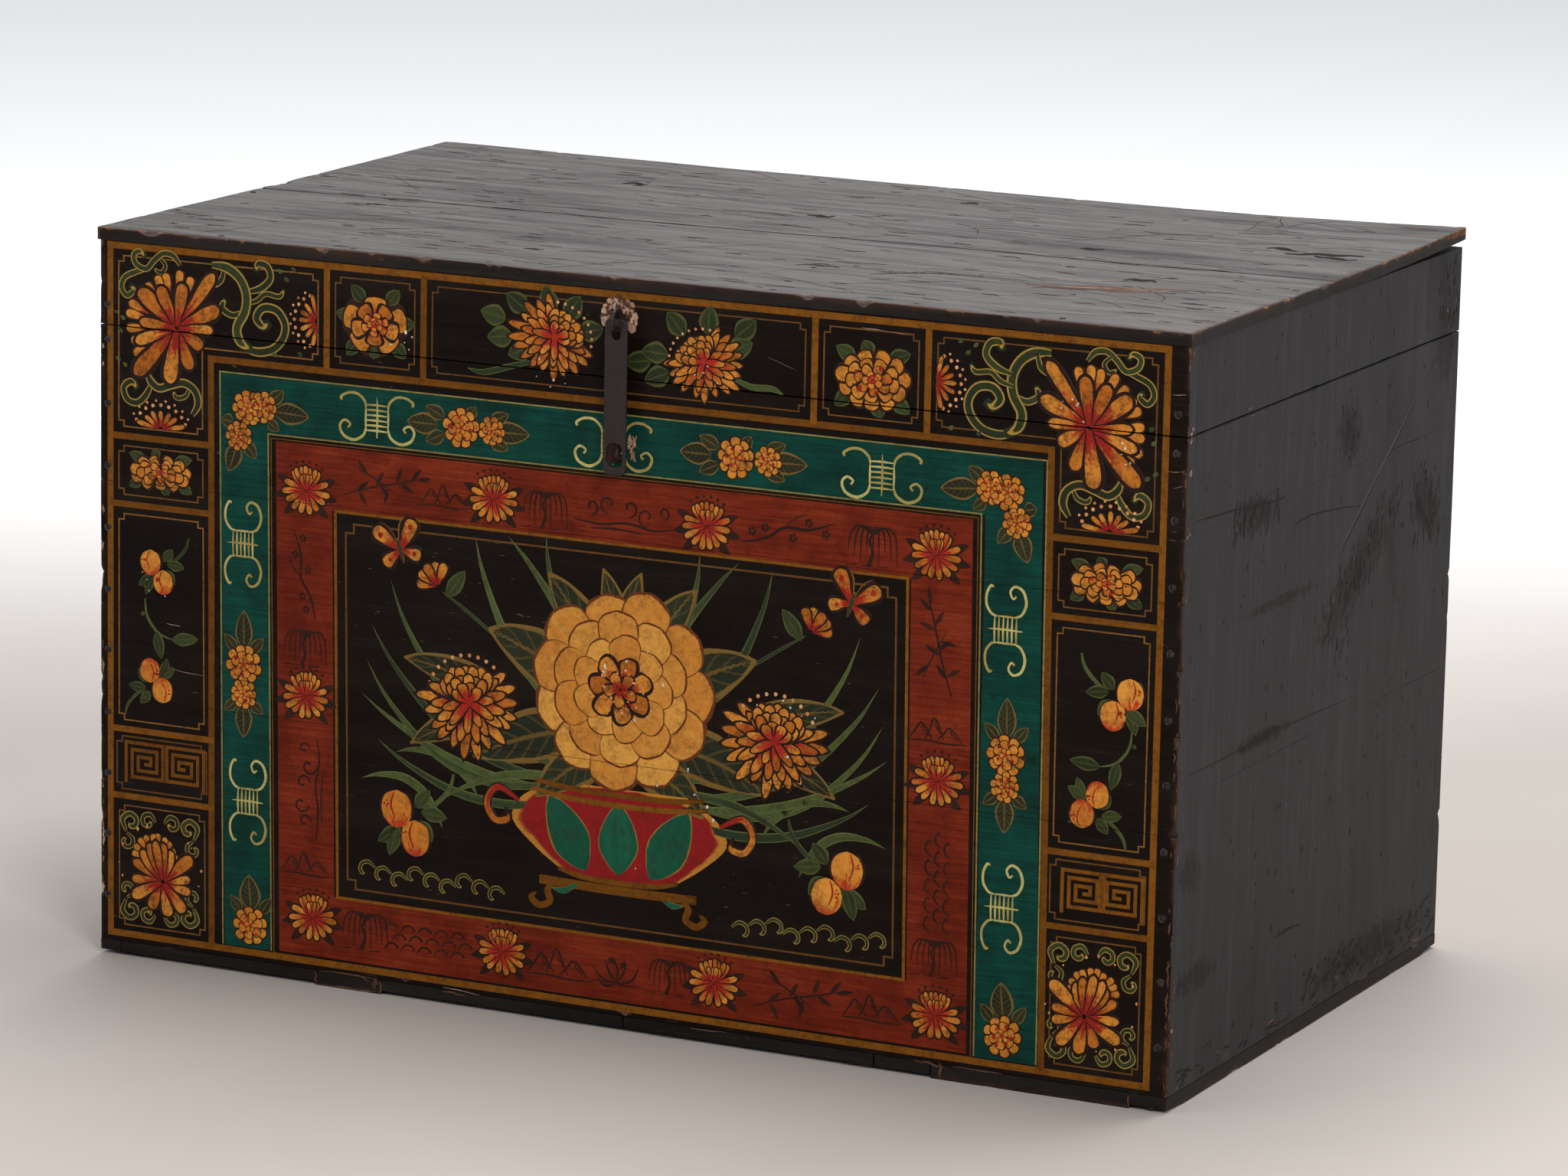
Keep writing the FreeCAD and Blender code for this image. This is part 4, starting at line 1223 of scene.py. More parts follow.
def painted_motifs(brush):
    """Every flower, leaf and scroll, each at its own place on the front."""
    for side, x, z in ((1, 374, 496), (-1, -382, 499)):
        corner = Spot(x, z, side, 1)
        brush.vine(corner)
        brush.daisy(corner)
    brush.half_flower(Spot(253, 518), 0)
    brush.half_flower(Spot(-259, 515), 180)
    brush.half_flower(Spot(392, 422, 1.2, 1.0), 90, 16)
    brush.half_flower(Spot(-396, 419, 1.2, 1.0), 90, 16)
    brush.camellia(Spot(-209, 517, 0.94, 0.9))
    brush.peony(Spot(203, 514))
    brush.peony(Spot(-396, 385, 0.94, 0.6))
    brush.peony(Spot(391, 384, 0.94, 0.66))
    for x, z, far, facing, leaves, stem in (
            (-57, 522, 37, 38,
             ((-109, 534), (-103, 518), (-89, 545), (-63, 549), (-42, 545), (-27, 529), (-86, 509)),
             ((-70, 503), (-92, 497), (-116, 490), (-130, 492))),
            (66, 515, 34, 128,
             ((100, 542), (26, 518), (43, 541), (28, 500), (12, 510), (70, 546), (96, 528)),
             ((84, 508), (104, 500), (122, 500), (132, 496)))):
        flower = Spot(x, z, 1.08, 0.92)
        for a, b in leaves:
            way = math.atan2(b - z, a - x)
            c, s = 11 * math.cos(way), 11 * math.sin(way)
            brush.leaf(ORIGIN, (a - c, b - s), (a + c, b + s), 8.5, 4)
        brush.stroke("blade", ORIGIN, stem, 2.4, 3)
        brush.chrysanthemum(flower, far, facing)
    brush.peaches(Spot(-397, 308, -0.86, 0.86))
    brush.peaches(Spot(-402, 222, 0.86, -0.86))
    brush.twig(Spot(-398, 262, -1, 1))
    brush.peaches(Spot(403, 298))
    brush.peaches(Spot(385, 221, -0.9, -0.9))
    brush.twig(Spot(402, 256))
    brush.lotus(Spot(-396.5, 73, 0.92), 3)
    brush.lotus(Spot(389, 73, -0.92, 0.92), 6)
    for x, z in ((-268, 385), (-107, 395), (71, 393), (257, 391), (-267, 226), (262, 224), (-260, 53),
                 (-95, 48), (84, 48), (265, 48)):
        brush.small_flower(Spot(x, z, 1.0, 0.98))
    for x, z, turn in ((-207, 446, 0), (-7, 446, 0), (212, 445, 0), (-323, 338, 90), (-318, 137, 90),
                       (313, 342, 90), (316, 136, 90)):
        brush.ladder(Spot(x, z, 1.0, 1.0, turn) if turn == 0 else Spot(x, z, 1.02, 0.88, turn))
    fan = (((-20, 0), (-46, 1), 9), ((-14, 6), (-30, 14), 6), ((-14, -6), (-30, -13), 6),
           ((6, 8), (12, 17), 5))
    right = (((27, 0), (58, 0), 9), ((24, 6), (40, 14), 6), ((24, -6), (40, -13), 6))
    for x in (-135, 94):
        brush.spray(Spot(x, 446), ((0, 0, 16), (26, 0, 11.5)), fan + right)
    for x, z, low in ((-322, 244, -23), (316, 250, -24)):
        leaves = (((0, 12), (0, 42), 8), ((-6, 10), (-17, 22), 5), ((6, 10), (17, 22), 5),
                  ((0, low - 8), (0, low - 34), 8), ((-6, low - 6), (-17, low - 14), 5),
                  ((6, low - 6), (17, low - 14), 5))
        brush.spray(Spot(x, z), ((0, 0, 16), (0, low, 12)), leaves)
    for x, z in ((-315, 39), (319, 40)):
        leaves = (((0, 12), (-2, 40), 10), ((8, 10), (18, 24), 5), ((-8, 10), (-18, 22), 5))
        brush.spray(Spot(x, z), ((0, 0, 16),), leaves)
    for x, z, side in ((-316, 437, -1), (309, 437, 1)):
        brush.spray(Spot(x, z, side, 1), ((-10, 8, 13), (3, 6, 14), (11, -16, 12)),
                    (((-20, 6), (-50, 4), 9), ((-16, 12), (-28, 22), 6), ((-14, -2), (-24, -9), 5),
                     ((12, -22), (20, -44), 8), ((6, -20), (-4, -32), 6), ((16, -6), (26, -4), 6)))
    for kind, turn, places in (
            ("bamboo", 0, ((-204, 396, 0.8), (150, 47, 0.88))), ("bamboo", 90, ((260, 321, 0.84),)),
            ("hills", 0, ((-148, 393, 0.5), (-46, 46, 0.66), (214, 47, 0.58), (-266, 95, 0.54),
                          (261, 262, 0.54))),
            ("willow", 0, ((-63, 392, 0.84), (206, 393, 0.9), (-214, 49, 0.9), (47, 48, 0.8),
                           (-268, 264, 0.84), (263, 92, 0.84))),
            ("clouds", 0, ((2, 396, 0.88),)), ("clouds", 90, ((-266, 153, 0.84),)),
            ("plum", 0, ((140, 395, 0.88),)), ("plum", 90, ((-269, 322, 0.8),)),
            ("waves", 0, ((-161, 47, 0.84),)), ("waves", 90, ((264, 146, 0.84),)),
            ("orchid", 0, ((2, 48, 0.66),))):
        for x, z, size in places:
            getattr(brush, kind)(Spot(x, z, size, size, turn))
    brush.picture(2, 226)


def paint_losses(brush):
    """Bare wood where the hasp has rubbed, painted shade under the strap at the lock staple, and small losses
    that show the chalk ground.
    """
    draw = brush.draw
    bare = Spot(-4, 541)
    for k in range(80):
        angle = draw(-32, 212)
        u, v = polar(draw(7, 14.5), angle)
        brush.disc("bare_wood" if k % 3 else "gouge", bare, u, v, draw(1.2, 3.2), LOSS_LAYER,
                   draw(0.6, 1.5))
    for k in range(22):
        u, v = polar(draw(6, 15), draw(-40, 220))
        brush.disc("gouge", bare, u, v, draw(0.5, 1.4), 14, draw(0.6, 1.8))
    # A dark oval under the strap at the lock staple: painted shade, drawn in ink colour.
    for u, v, half in ((-1, 0, 8), (0, 7, 6), (-2, -8, 6), (2, 12, 4)):
        brush.disc("ink", Spot(-5, 447), u, v, half, 12.6, 1.2)
    for k in range(12):
        brush.scrape("bare_wood", 8 + draw(-2.5, 3), 447 + draw(-8, 8), draw(4, 10),
                     draw(70, 110), 1.1, LOSS_LAYER)
    for name, x, z, run, way in (("pale_wood", 203, 551.4, 20, -1), ("pale_wood", 224, 550.2, 18, -3),
                                 ("pale_scratch", 130, 519.5, 24, -18), ("pale_wood", -384, 268, 12, -4),
                                 ("pale_wood", -372, 232, 30, -4)):
        brush.scrape(name, x, z, run, way, 0.28, LOSS_LAYER)
    for name, x, z, run, way, half in (
            ("gouge", -257, 6, 11, 90, 1.2), ("gouge", -201, 6, 11, 90, 1.6), ("gouge", -205, 8, 9, 70, 2.2),
            ("gouge", -228, 12, 52, 0, 0.7), ("gouge", -228, 1.4, 50, 0, 0.8),
            ("gouge", -216, 11, 14, -20, 0.9), ("pale_wood", -130, 12.5, 32, -4, 0.4),
            ("gouge", -136, 9.5, 22, -4, 1.0), ("gouge", -180, 15, 12, 0, 1.5), ("gouge", 9, 15, 12, 0, 1.6),
            ("gouge", 270, 7, 12, 90, 1.6), ("gouge", 262, 11, 26, -8, 1.2), ("gouge", 300, 12, 40, 0, 0.8),
            ("gouge", 80, 11, 30, 3, 0.7), ("gouge", 420, 6, 9, 80, 1.2)):
        brush.scrape(name, x, z, run, way, half, 1.0)
    for k in range(44):
        level = draw(18, 480) if k % 3 else draw(40, 110)
        brush.scrape("pale_wood" if k % 4 == 0 else "gouge", RIGHT_ARRIS if k % 2 else LEFT_ARRIS, level,
                     draw(3, 12), 90, draw(0.5, 1.3), 1.0)
    for k in range(34):
        brush.scrape("scratch", draw(-440, 440), draw(2, 15), draw(4, 26),
                     draw(-6, 6), draw(0.25, 0.7), 0.8)
    for x, z, spread, count in ((-4, 541, 15, 12), (362, 505, 14, 7), (400, 478, 10, 6), (8, 262, 40, 14),
                                (-190, 505, 14, 5), (-60, 500, 18, 5), (70, 498, 14, 5), (-398, 300, 16, 4),
                                (40, 170, 50, 8), (130, 250, 40, 8)):
        for k in range(count):
            u, v = polar(spread * math.sqrt(brush.chance.random()), 360 * brush.chance.random())
            brush.disc("chalk", Spot(x, z), u, v, draw(0.35, 1.1), 14.5, draw(0.5, 1.6))


def nail_glints_and_rubs(brush):
    """Pale arcs round the front nails, which are painted glints at the rims of their heads, and short dashes
    beside them where the lacquer is rubbed.
    """
    draw = brush.draw
    brush.face = "front"
    for node in ("base_corner_nails", "lid_corner_nails"):
        spots = [(place.x / MM, place.z / MM) for place, facing in nail_places(node) if facing.y < -0.5]
        for x, z in spots:
            # Each arc is a painted glint at the rim of a nail head.
            start = draw(20, 160)
            rim = [polar(3.0, start + 22 * k) for k in range(8)]
            brush.stroke("pale_scratch", Spot(x, z), rim, 0.32, LOSS_LAYER)
    for x, z, run, way in ((442.5, 526.4, 11, 5), (441, 470.8, 11, 3), (444, 460, 7, 17)):
        brush.scrape("pale_wood", x, z, run, way, 0.28, LOSS_LAYER)


def top_marks(brush):
    """Knots, dents, a long gouge and scratches on the lid."""
    draw = brush.draw
    brush.face = "top"
    for x, y, radius, squash in ((362, 116, 10, 0.7), (236, 45, 7, 0.8), (327, -75, 9, 0.7),
                                 (-11, 80, 8, 0.8), (-210, 150, 7, 0.9), (-330, -60, 6, 0.8),
                                 (60, 205, 6, 0.7), (-120, -190, 6, 0.6)):
        brush.scrape("dent", x, y, 2.6 * radius, 6, squash * radius, 0.4)
    for x, y, run, way, half in ((400, 107, 60, 10, 9), (412, 97, 36, -6, 6), (96, -145, 34, 8, 4),
                                 (330, -4, 74, 2, 2.6), (240, -8, 130, 2, 0.7), (120, -12, 150, 2, 0.5),
                                 (-60, 70, 60, 3, 1.6)):
        brush.scrape("dent", x, y, run, way, half)
    for u, v, run, half in ((318, -128, 112, 8), (336, -114, 84, 7), (300, -138, 60, 5)):
        brush.scrape("gouge", u, v, run, 14, half)
    for k in range(6):
        brush.scrape("pale_wood", 300 + 9 * k, -132 + 4 * k, draw(24, 60), 14, 1.0)
    for x, y in ((-150, -214), (70, -238), (300, -262), (-380, 225), (420, 255), (-20, 258)):
        brush.scrape("gouge", x, y, draw(14, 40), draw(-8, 8), 2.2)
    for mark in (
            ("dent", 240, (-440, 440), (-262, 262), (4, 24), (-7, 7), (0.5, 1.7)),
            ("gouge", 36, (-440, 440), (-262, 262), (8, 40), (-6, 6), (0.5, 1.6)),
            ("scratch", 46, (-420, 420), (-250, 250), (24, 110), (-50, 60), (0.2, 0.4)),
            ("pale_scratch", 24, (-420, 420), (-250, 250), (14, 90), (-30, 40), (0.2, 0.4))):
        brush.scatter(*mark)
    for k in range(15):
        u, v, way = draw(-400, 380), draw(-245, 240), draw(-180, 180)
        points = [(u, v)]
        for j in range(5):
            way += draw(-22, 22)
            du, dv = polar(draw(6, 18), way)
            points.append((points[-1][0] + du, points[-1][1] + dv))
        brush.stroke("scratch", ORIGIN, points, draw(0.22, 0.5), MARK_LAYER)
    for k in range(9):
        brush.scrape("scratch", 150 + 6 * k, -150 + 3 * k, 26 + 3 * k, 70 - 9 * k, 0.35)


def side_marks(brush, face):
    """Nicks, scuffs and long scratches on a wall."""
    draw = brush.draw
    brush.face = face
    wide = 262 if face in ("right", "left") else 440
    field, upright = (-wide, wide), (52, 100)
    if face == "right":
        brush.scrape("pale_scratch", 121, 418.5, 271, 31.9, 0.45)
        brush.scrape("dent", 128, 420, 230, 32.4, 0.5)
        brush.scrape("pale_scratch", 92, 396, 150, 35, 0.3)
        brush.stroke("dent", ORIGIN, ((-269, 435), (-226, 431), (-180, 429), (-130, 424), (-82, 422)), 0.8,
                     MARK_LAYER)
        brush.scrape("gouge", -252, 433.5, 36, -4, 0.7, 0.4)
        brush.stroke("dent", ORIGIN, ((-60, 398), (-30, 400), (0, 398), (40, 394), (74, 390)), 0.6,
                     MARK_LAYER)
        brush.stroke("dent", ORIGIN, ((-250, 247), (-190, 246), (-115, 247), (-40, 246), (58, 243)), 0.45,
                     MARK_LAYER)
        for k in range(70):
            t = brush.chance.random()
            brush.scrape("dent", 155 * t - 4 + draw(-26, 26), 300 + 82 * t + draw(-20, 20),
                         draw(3, 13), draw(50, 100), draw(0.4, 1.1))
        for mark in (
                ("dent", 12, (20, 60), (265, 300), (3, 10), (60, 100), (0.5, 1.2)),
                ("dent", 30, (-182, -94), (404, 432), (5, 16), (60, 100), (0.5, 1.5)),
                ("dent", 30, (180, 246), (335, 400), (4, 16), (60, 110), (0.5, 1.6)),
                ("dent", 14, (20, 70), (430, 474), (3, 9), (60, 110), (0.4, 1.0)),
                ("dent", 10, (-150, -76), (243, 250), (10, 34), (-4, 4), (0.4, 1.2)),
                ("dent", 60, (-10, 266), (20, 46), (3, 13), (-20, 40), (0.8, 2.4)),
                ("dent", 18, (225, 268), (508, 556), (4, 13), (60, 120), (0.8, 2.2)),
                ("gouge", 10, (240, 269), (506, 556), (3, 10), (60, 120), (0.6, 1.6))):
            brush.scatter(*mark)
        brush.scrape("dent", -46, 86, 52, -3, 1.5)
        brush.scatter("scratch", 8, (-100, 180), (150, 260), (30, 90), (-4, 6), (0.4, 0.7))
        for level in (423, 496, 498, 470, 380, 330, 558, 256, 190, 92, 40):
            brush.scatter("gouge", 3, (-272, -265), (level - 7, level + 7), (3, 9), (50, 130), (0.6, 1.6))
        for level in (424, 495, 499, 468, 60):
            brush.scatter("pale_wood", 2, (-272, -264), (level - 4, level + 4), (2, 6), (-40, 60), (0.6, 1.5))
    else:
        for node in (f"base_{face}_lower", f"base_{face}_middle"):
            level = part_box(node)[1].z / MM
            crack = [(wide * t, level + draw(-0.7, 0.7)) for t in (-1, -0.7, -0.35, 0.05, 0.4, 0.75, 1)]
            brush.stroke("dent", ORIGIN, crack, 0.6, MARK_LAYER)
    for mark in (
            ("dent", 110, field, (20, 485), (2, 7), upright, (0.4, 1.0)),
            ("dent", 16, field, (505, 555), (2, 8), upright, (0.3, 0.7)),
            ("pale_scratch", 30, field, (20, 550), (6, 30), (70, 110), (0.15, 0.25)),
            ("dent", 40, field, (13, 34), (4, 18), (-12, 30), (0.5, 1.7)),
            ("gouge", 16, field, (11, 26), (3, 18), (-12, 12), (0.5, 1.6)),
            ("gouge", 8, field, (488, 502), (3, 10), (-10, 10), (0.5, 1.2))):
        brush.scatter(*mark)


def new_tree(name, **inputs):
    """An empty geometry tree with these further inputs, and the node that gives them."""
    tree = bpy.data.node_groups.new(name, "GeometryNodeTree")
    for label, kind in (("Geometry", "Geometry"), *inputs.items()):
        tree.interface.new_socket(label.replace("_", " "), in_out="INPUT", socket_type="NodeSocket" + kind)
    tree.interface.new_socket("Geometry", in_out="OUTPUT", socket_type="NodeSocketGeometry")
    g = Graph(tree)
    return g, g.node("NodeGroupInput")


def stroke_tree(smooth):
    """Node tree that turns drawn lines into raised strokes of paint, laid flat."""
    g, given = new_tree("smooth_strokes" if smooth else "ruled_strokes", Thickness="Float",
                        Layer_Step="Float", Smoothness="Int", Paint="Material")

    def kept(name):
        return g.node("GeometryNodeInputNamedAttribute", {"data_type": "FLOAT"}, {"Name": name})

    line = g.node("GeometryNodeMeshToCurve", {}, {"Mesh": given.part("Geometry")})
    if smooth:
        line = g.node("GeometryNodeCurveSplineType", {"spline_type": "CATMULL_ROM"}, {"Curve": line})
        line = g.node("GeometryNodeSetSplineResolution", {},
                      {"Geometry": line, "Resolution": given.part("Smoothness")})
    line = g.node("GeometryNodeSetCurveNormal", {"mode": "Z_UP"}, {"Curve": line})
    section = g.node("GeometryNodeCurvePrimitiveQuadrilateral", {"mode": "POINTS"},
                     {"Point 1": (-1, 0, 0), "Point 2": (-0.86, -1, 0), "Point 3": (0.86, -1, 0),
                      "Point 4": (1, 0, 0)})
    corner = g.node("ShaderNodeSeparateXYZ", {}, {0: g.node("GeometryNodeInputPosition")})
    for name, value in (("across", corner), ("rise", 0.0 - corner.part("Y"))):
        section = g.node("GeometryNodeStoreNamedAttribute", {"data_type": "FLOAT", "domain": "POINT"},
                         {"Geometry": section, "Name": name, "Value": value})
    ribbon = g.node("GeometryNodeCurveToMesh", {},
                    {"Curve": line, "Profile Curve": section, "Scale": kept("half_width"), "Fill Caps": True})
    rise = kept("rise")
    height = rise * (given.part("Thickness") + kept("layer") * given.part("Layer Step")) - (1.0 - rise) * BOND
    flat = g.node("ShaderNodeSeparateXYZ", {}, {0: g.node("GeometryNodeInputPosition")})
    raised = g.node("ShaderNodeCombineXYZ", {}, {0: flat, 1: flat.part("Y"), 2: height})
    ribbon = g.node("GeometryNodeSetPosition", {}, {"Geometry": ribbon, "Position": raised})
    ribbon = g.node("GeometryNodeSetShadeSmooth", {}, {"Geometry": ribbon, "Shade Smooth": False})
    return g.close(ribbon, given.part("Paint"))


def drawn_lines(name, strokes, smooth):
    """A mesh of the strokes' lines, laid flat, that carries each point's width, layer, shade and place."""
    corners, edges = [], []
    values = {"half_width": [], "layer": [], "shade": [], "along": []}
    for points, halves, layer, shade, closed in strokes:
        first = len(corners)
        runs = [0.0]
        for a, b in zip(points, points[1:]):
            runs.append(runs[-1] + math.dist(a, b))
        corners += [(x * MM, z * MM, 0.0) for x, z in points]
        edges += [(first + k, first + k + 1) for k in range(len(points) - 1)]
        if closed:
            edges.append((first + len(points) - 1, first))
        values["half_width"] += [half * MM for half in halves]
        values["layer"] += [layer + (0.0 if closed else 0.35 * run / runs[-1]) for run in runs]
        values["shade"] += [shade] * len(points)
        values["along"] += [run / runs[-1] if smooth else 0.5 for run in runs]
    mesh = bpy.data.meshes.new(name)
    mesh.from_pydata(corners, edges, [])
    for key, numbers in values.items():
        mesh.attributes.new(key, "FLOAT", "POINT").data.foreach_set("value", numbers)
    return mesh


def grow(name, mesh, tree, values):
    """The plain mesh that a node tree makes from a drawn one."""
    holder = bpy.data.objects.new(name, mesh)
    bpy.context.scene.collection.objects.link(holder)
    nodes = holder.modifiers.new("nodes", "NODES")
    nodes.node_group = tree
    for item in tree.interface.items_tree:
        if item.in_out == "INPUT" and item.name in values:
            nodes[item.identifier] = values[item.name]
    bpy.context.view_layer.update()
    made = bpy.data.meshes.new_from_object(holder.evaluated_get(bpy.context.evaluated_depsgraph_get()))
    bpy.data.objects.remove(holder)
    bpy.data.meshes.remove(mesh)
    return made


def laid(mesh, face):
    """Puts flat strokes on a face of the trunk: u and v are x and z on the front, y and z on the right."""
    sizes = bpy.context.scene.trunk
    w, d = sizes.width / 2, sizes.depth / 2
    rows = {
        "front": ((1, 0, 0, 0), (0, 0, -1, -d), (0, 1, 0, 0)),
        "back": ((-1, 0, 0, 0), (0, 0, 1, d), (0, 1, 0, 0)),
        "right": ((0, 0, 1, w), (1, 0, 0, 0), (0, 1, 0, 0)),
        "left": ((0, 0, -1, -w), (-1, 0, 0, 0), (0, 1, 0, 0)),
        "top": ((1, 0, 0, 0), (0, 1, 0, 0), (0, 0, 1, sizes.height)),
    }
    mesh.transform(Matrix((*rows[face], (0, 0, 0, 1))))
    if face == "top":
        for corner in mesh.vertices:
            corner.co = curled(corner.co)
    return mesh


def cut_levels(kept, mesh, bands):
    """Adds the parts of a mesh that lie within the bands of height, each closed again where it was cut."""
    for low, high in bands:
        part = bmesh.new()
        part.from_mesh(mesh)
        for level, upward in ((low, -1), (high, 1)):
            every = part.verts[:] + part.edges[:] + part.faces[:]
            cut = bmesh.ops.bisect_plane(part, geom=every, plane_co=(0, 0, level), plane_no=(0, 0, upward),
                                         clear_outer=True)
            open_edges = [e for e in cut["geom_cut"] if isinstance(e, bmesh.types.BMEdge) and e.is_boundary]
            bmesh.ops.holes_fill(part, edges=open_edges, sides=0)
        bmesh.ops.recalc_face_normals(part, faces=part.faces)
        between = bpy.data.meshes.new("between")
        part.to_mesh(between)
        part.free()
        kept.from_mesh(between)
        bpy.data.meshes.remove(between)


class TRUNK_OT_painting(bpy.types.Operator):
    """Paint the front, cracked at the seams of its boards, and lay the marks of use on every face"""
    bl_idname = "trunk.painting"
    bl_label = "Painted front"

    def execute(self, context):
        sizes, paint = context.scene.trunk, context.scene.trunk_paint
        brush = Brush(paint)
        ruled_design(brush)
        painted_motifs(brush)
        paint_losses(brush)
        top_marks(brush)
        for face in ("right", "left", "back"):
            side_marks(brush, face)
        nail_glints_and_rubs(brush)
        trees = {smooth: stroke_tree(smooth) for smooth in (True, False)}
        lower, upper = (corner.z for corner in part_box("base_front_middle"))
        levels = [0.0, lower - paint.crack, lower + paint.crack, upper - paint.crack, upper + paint.crack,
                  sizes.base_height - paint.parting]
        base = list(zip(levels[::2], levels[1::2]))
        lid = [(sizes.base_height + paint.parting, sizes.height - sizes.top)]
        parts = {}
        for (face, name, smooth), strokes in brush.work.items():
            values = {"Thickness": paint.thickness, "Layer Step": paint.layer, "Paint": finish(name),
                      "Smoothness": paint.smoothness if face == "front" else 2}
            whole = laid(grow(name, drawn_lines(name, strokes, smooth), trees[smooth], values), face)
            slot = "painted_front" if face == "front" else "worn_lacquer"
            for body, bands in (("base", base), ("lid", lid)) if face != "top" else (("lid", [(0.0, 1.0)]),):
                cut_levels(parts.setdefault((name, body, slot), bmesh.new()), whole, bands)
            bpy.data.meshes.remove(whole)
        for (name, body, slot), joined in parts.items():
            if joined.faces:
                label = f"{name}_on_{body}" if slot == "painted_front" else f"{name}_mark_on_{body}"
                piece(label, meshed(joined, name, name), body, slot)
            else:
                joined.free()
        return {"FINISHED"}


# Nails and ironwork

def nail_tree():
    """Node tree that puts an uneven hammered head on every nail's place."""
    g, given = new_tree("nail_heads", Head="Float", Proud="Float", Iron="Material")
    ball = g.node("GeometryNodeMeshUVSphere", {}, {"Segments": 10, "Rings": 6, "Radius": 1.0})
    across = given.part("Head")
    size = g.node("ShaderNodeCombineXYZ", {}, {0: across, 1: across, 2: given.part("Proud")})
    head = g.node("GeometryNodeTransform", {}, {"Geometry": ball, "Scale": size})
    face = g.node("GeometryNodeInputNamedAttribute", {"data_type": "FLOAT_VECTOR"}, {"Name": "facing"})
    turn = g.node("FunctionNodeAlignRotationToVector", {"axis": "Z"}, {"Vector": face})
    uneven = g.node("FunctionNodeRandomValue", {"data_type": "FLOAT_VECTOR"},
                    {0: (0.85, 0.85, 0.6), 1: (1.15, 1.15, 1.2), "Seed": 3})
    placed = g.node("GeometryNodeInstanceOnPoints", {},
                    {"Points": given.part("Geometry"), "Instance": head, "Rotation": turn, "Scale": uneven})
    return g.close(placed, given.part("Iron"))


def nail_places(node):
    """Middle and outward way of every nail head in a node of the model."""
    bm = bmesh.new()
    bm.from_mesh(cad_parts[node].data)
    bmesh.ops.remove_doubles(bm, verts=bm.verts, dist=1e-6)
    places = []
    left = set(bm.verts)
    while left:
        pile = [left.pop()]
        nail = set(pile)
        while pile:
            for edge in pile.pop().link_edges:
                for corner in edge.verts:
                    if corner in left:
                        left.discard(corner)
                        nail.add(corner)
                        pile.append(corner)
        spots = [corner.co for corner in nail]
        low = Vector([min(p[k] for p in spots) for k in range(3)])
        high = Vector([max(p[k] for p in spots) for k in range(3)])
        middle = (low + high) / 2
        axis = max(range(3), key=lambda k: (high - low)[k])
        ends = {}
        for end in (low, high):
            near = [p for p in spots if abs(p[axis] - end[axis]) < 1e-4]
            ends[end[axis]] = max((p - middle).length - abs(p[axis] - middle[axis]) for p in near)
        level = max(ends, key=ends.get)
        facing = Vector((0, 0, 0))
        facing[axis] = math.copysign(1.0, level - middle[axis])
        place = middle.copy()
        place[axis] = level
        places.append((place, facing))
    bm.free()
    return sorted(places, key=lambda nail: tuple(nail[0]))


class TRUNK_OT_nails(bpy.types.Operator):
    """Drive the nails: worn heads that stand a little proud of the boards"""
    bl_idname = "trunk.nails"
    bl_label = "Nail heads"

    def execute(self, context):
        tree = nail_tree()
        for node in ("base_corner_nails", "bottom_nails", "base_hinge_nails", "lid_corner_nails",
                     "lid_top_nails", "lid_hinge_nails"):
            body = "lid" if node.startswith("lid") else "base"
            sunk = NAIL_SUNK if node == "bottom_nails" else 0.0
            places = [(place - facing * sunk, facing) for place, facing in nail_places(node)]
            mesh = bpy.data.meshes.new(node)
            mesh.from_pydata([tuple(place) for place, facing in places], [], [])
            ways = [number for place, facing in places for number in facing]
            mesh.attributes.new("facing", "FLOAT_VECTOR", "POINT").data.foreach_set("vector", ways)
            values = {"Head": NAIL_HEAD, "Proud": NAIL_PROUD, "Iron": finish("nail_iron")}
            heads = grow(node, mesh, tree, values)
            for face in heads.polygons:
                face.use_smooth = True
            piece(node + "_heads", heads, body, "nail_iron", node)
        return {"FINISHED"}


def forged(node, body, soften, uneven):
    """A node of the model with its sharp edges softened and its faces a little uneven, as from a hammer."""
    bm = bmesh.new()
    bm.from_mesh(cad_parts[node].data)
    bmesh.ops.remove_doubles(bm, verts=bm.verts, dist=1e-6)
    bmesh.ops.dissolve_limit(bm, angle_limit=math.radians(1), verts=bm.verts, edges=bm.edges)
    sharp = [e for e in bm.edges if len(e.link_faces) == 2 and e.calc_face_angle() > math.radians(50)]
    if sharp and soften:
        bmesh.ops.bevel(bm, geom=sharp, offset=soften, segments=2, profile=0.5, affect="EDGES",
                        clamp_overlap=True)
    bmesh.ops.triangulate(bm, faces=[f for f in bm.faces if len(f.verts) > 4])
    long = [e for e in bm.edges if e.calc_length() > FORGED_EDGE]
    while long:
        bmesh.ops.subdivide_edges(bm, edges=long, cuts=1)
        bmesh.ops.triangulate(bm, faces=[f for f in bm.faces if len(f.verts) > 4])
        long = [e for e in bm.edges if e.calc_length() > FORGED_EDGE]
    bm.normal_update()
    for corner in bm.verts:
        push = 0.7 * lumps(corner.co, 0.012, 2) + 0.3 * lumps(corner.co, 0.004, 6)
        corner.co += corner.normal * uneven * push
    bmesh.ops.recalc_face_normals(bm, faces=bm.faces)
    mesh = meshed(bm, node, "black_iron")
    for face in mesh.polygons:
        face.use_smooth = True
    mesh.set_sharp_from_angle(angle=math.radians(38))
    piece(node + "_forged", mesh, body, "black_iron", node)


def coat(node, name):
    """Gives its finish to a node of the model that is shown as it is."""
    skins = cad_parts[node].data.materials
    skins.clear()
    skins.append(finish(name))


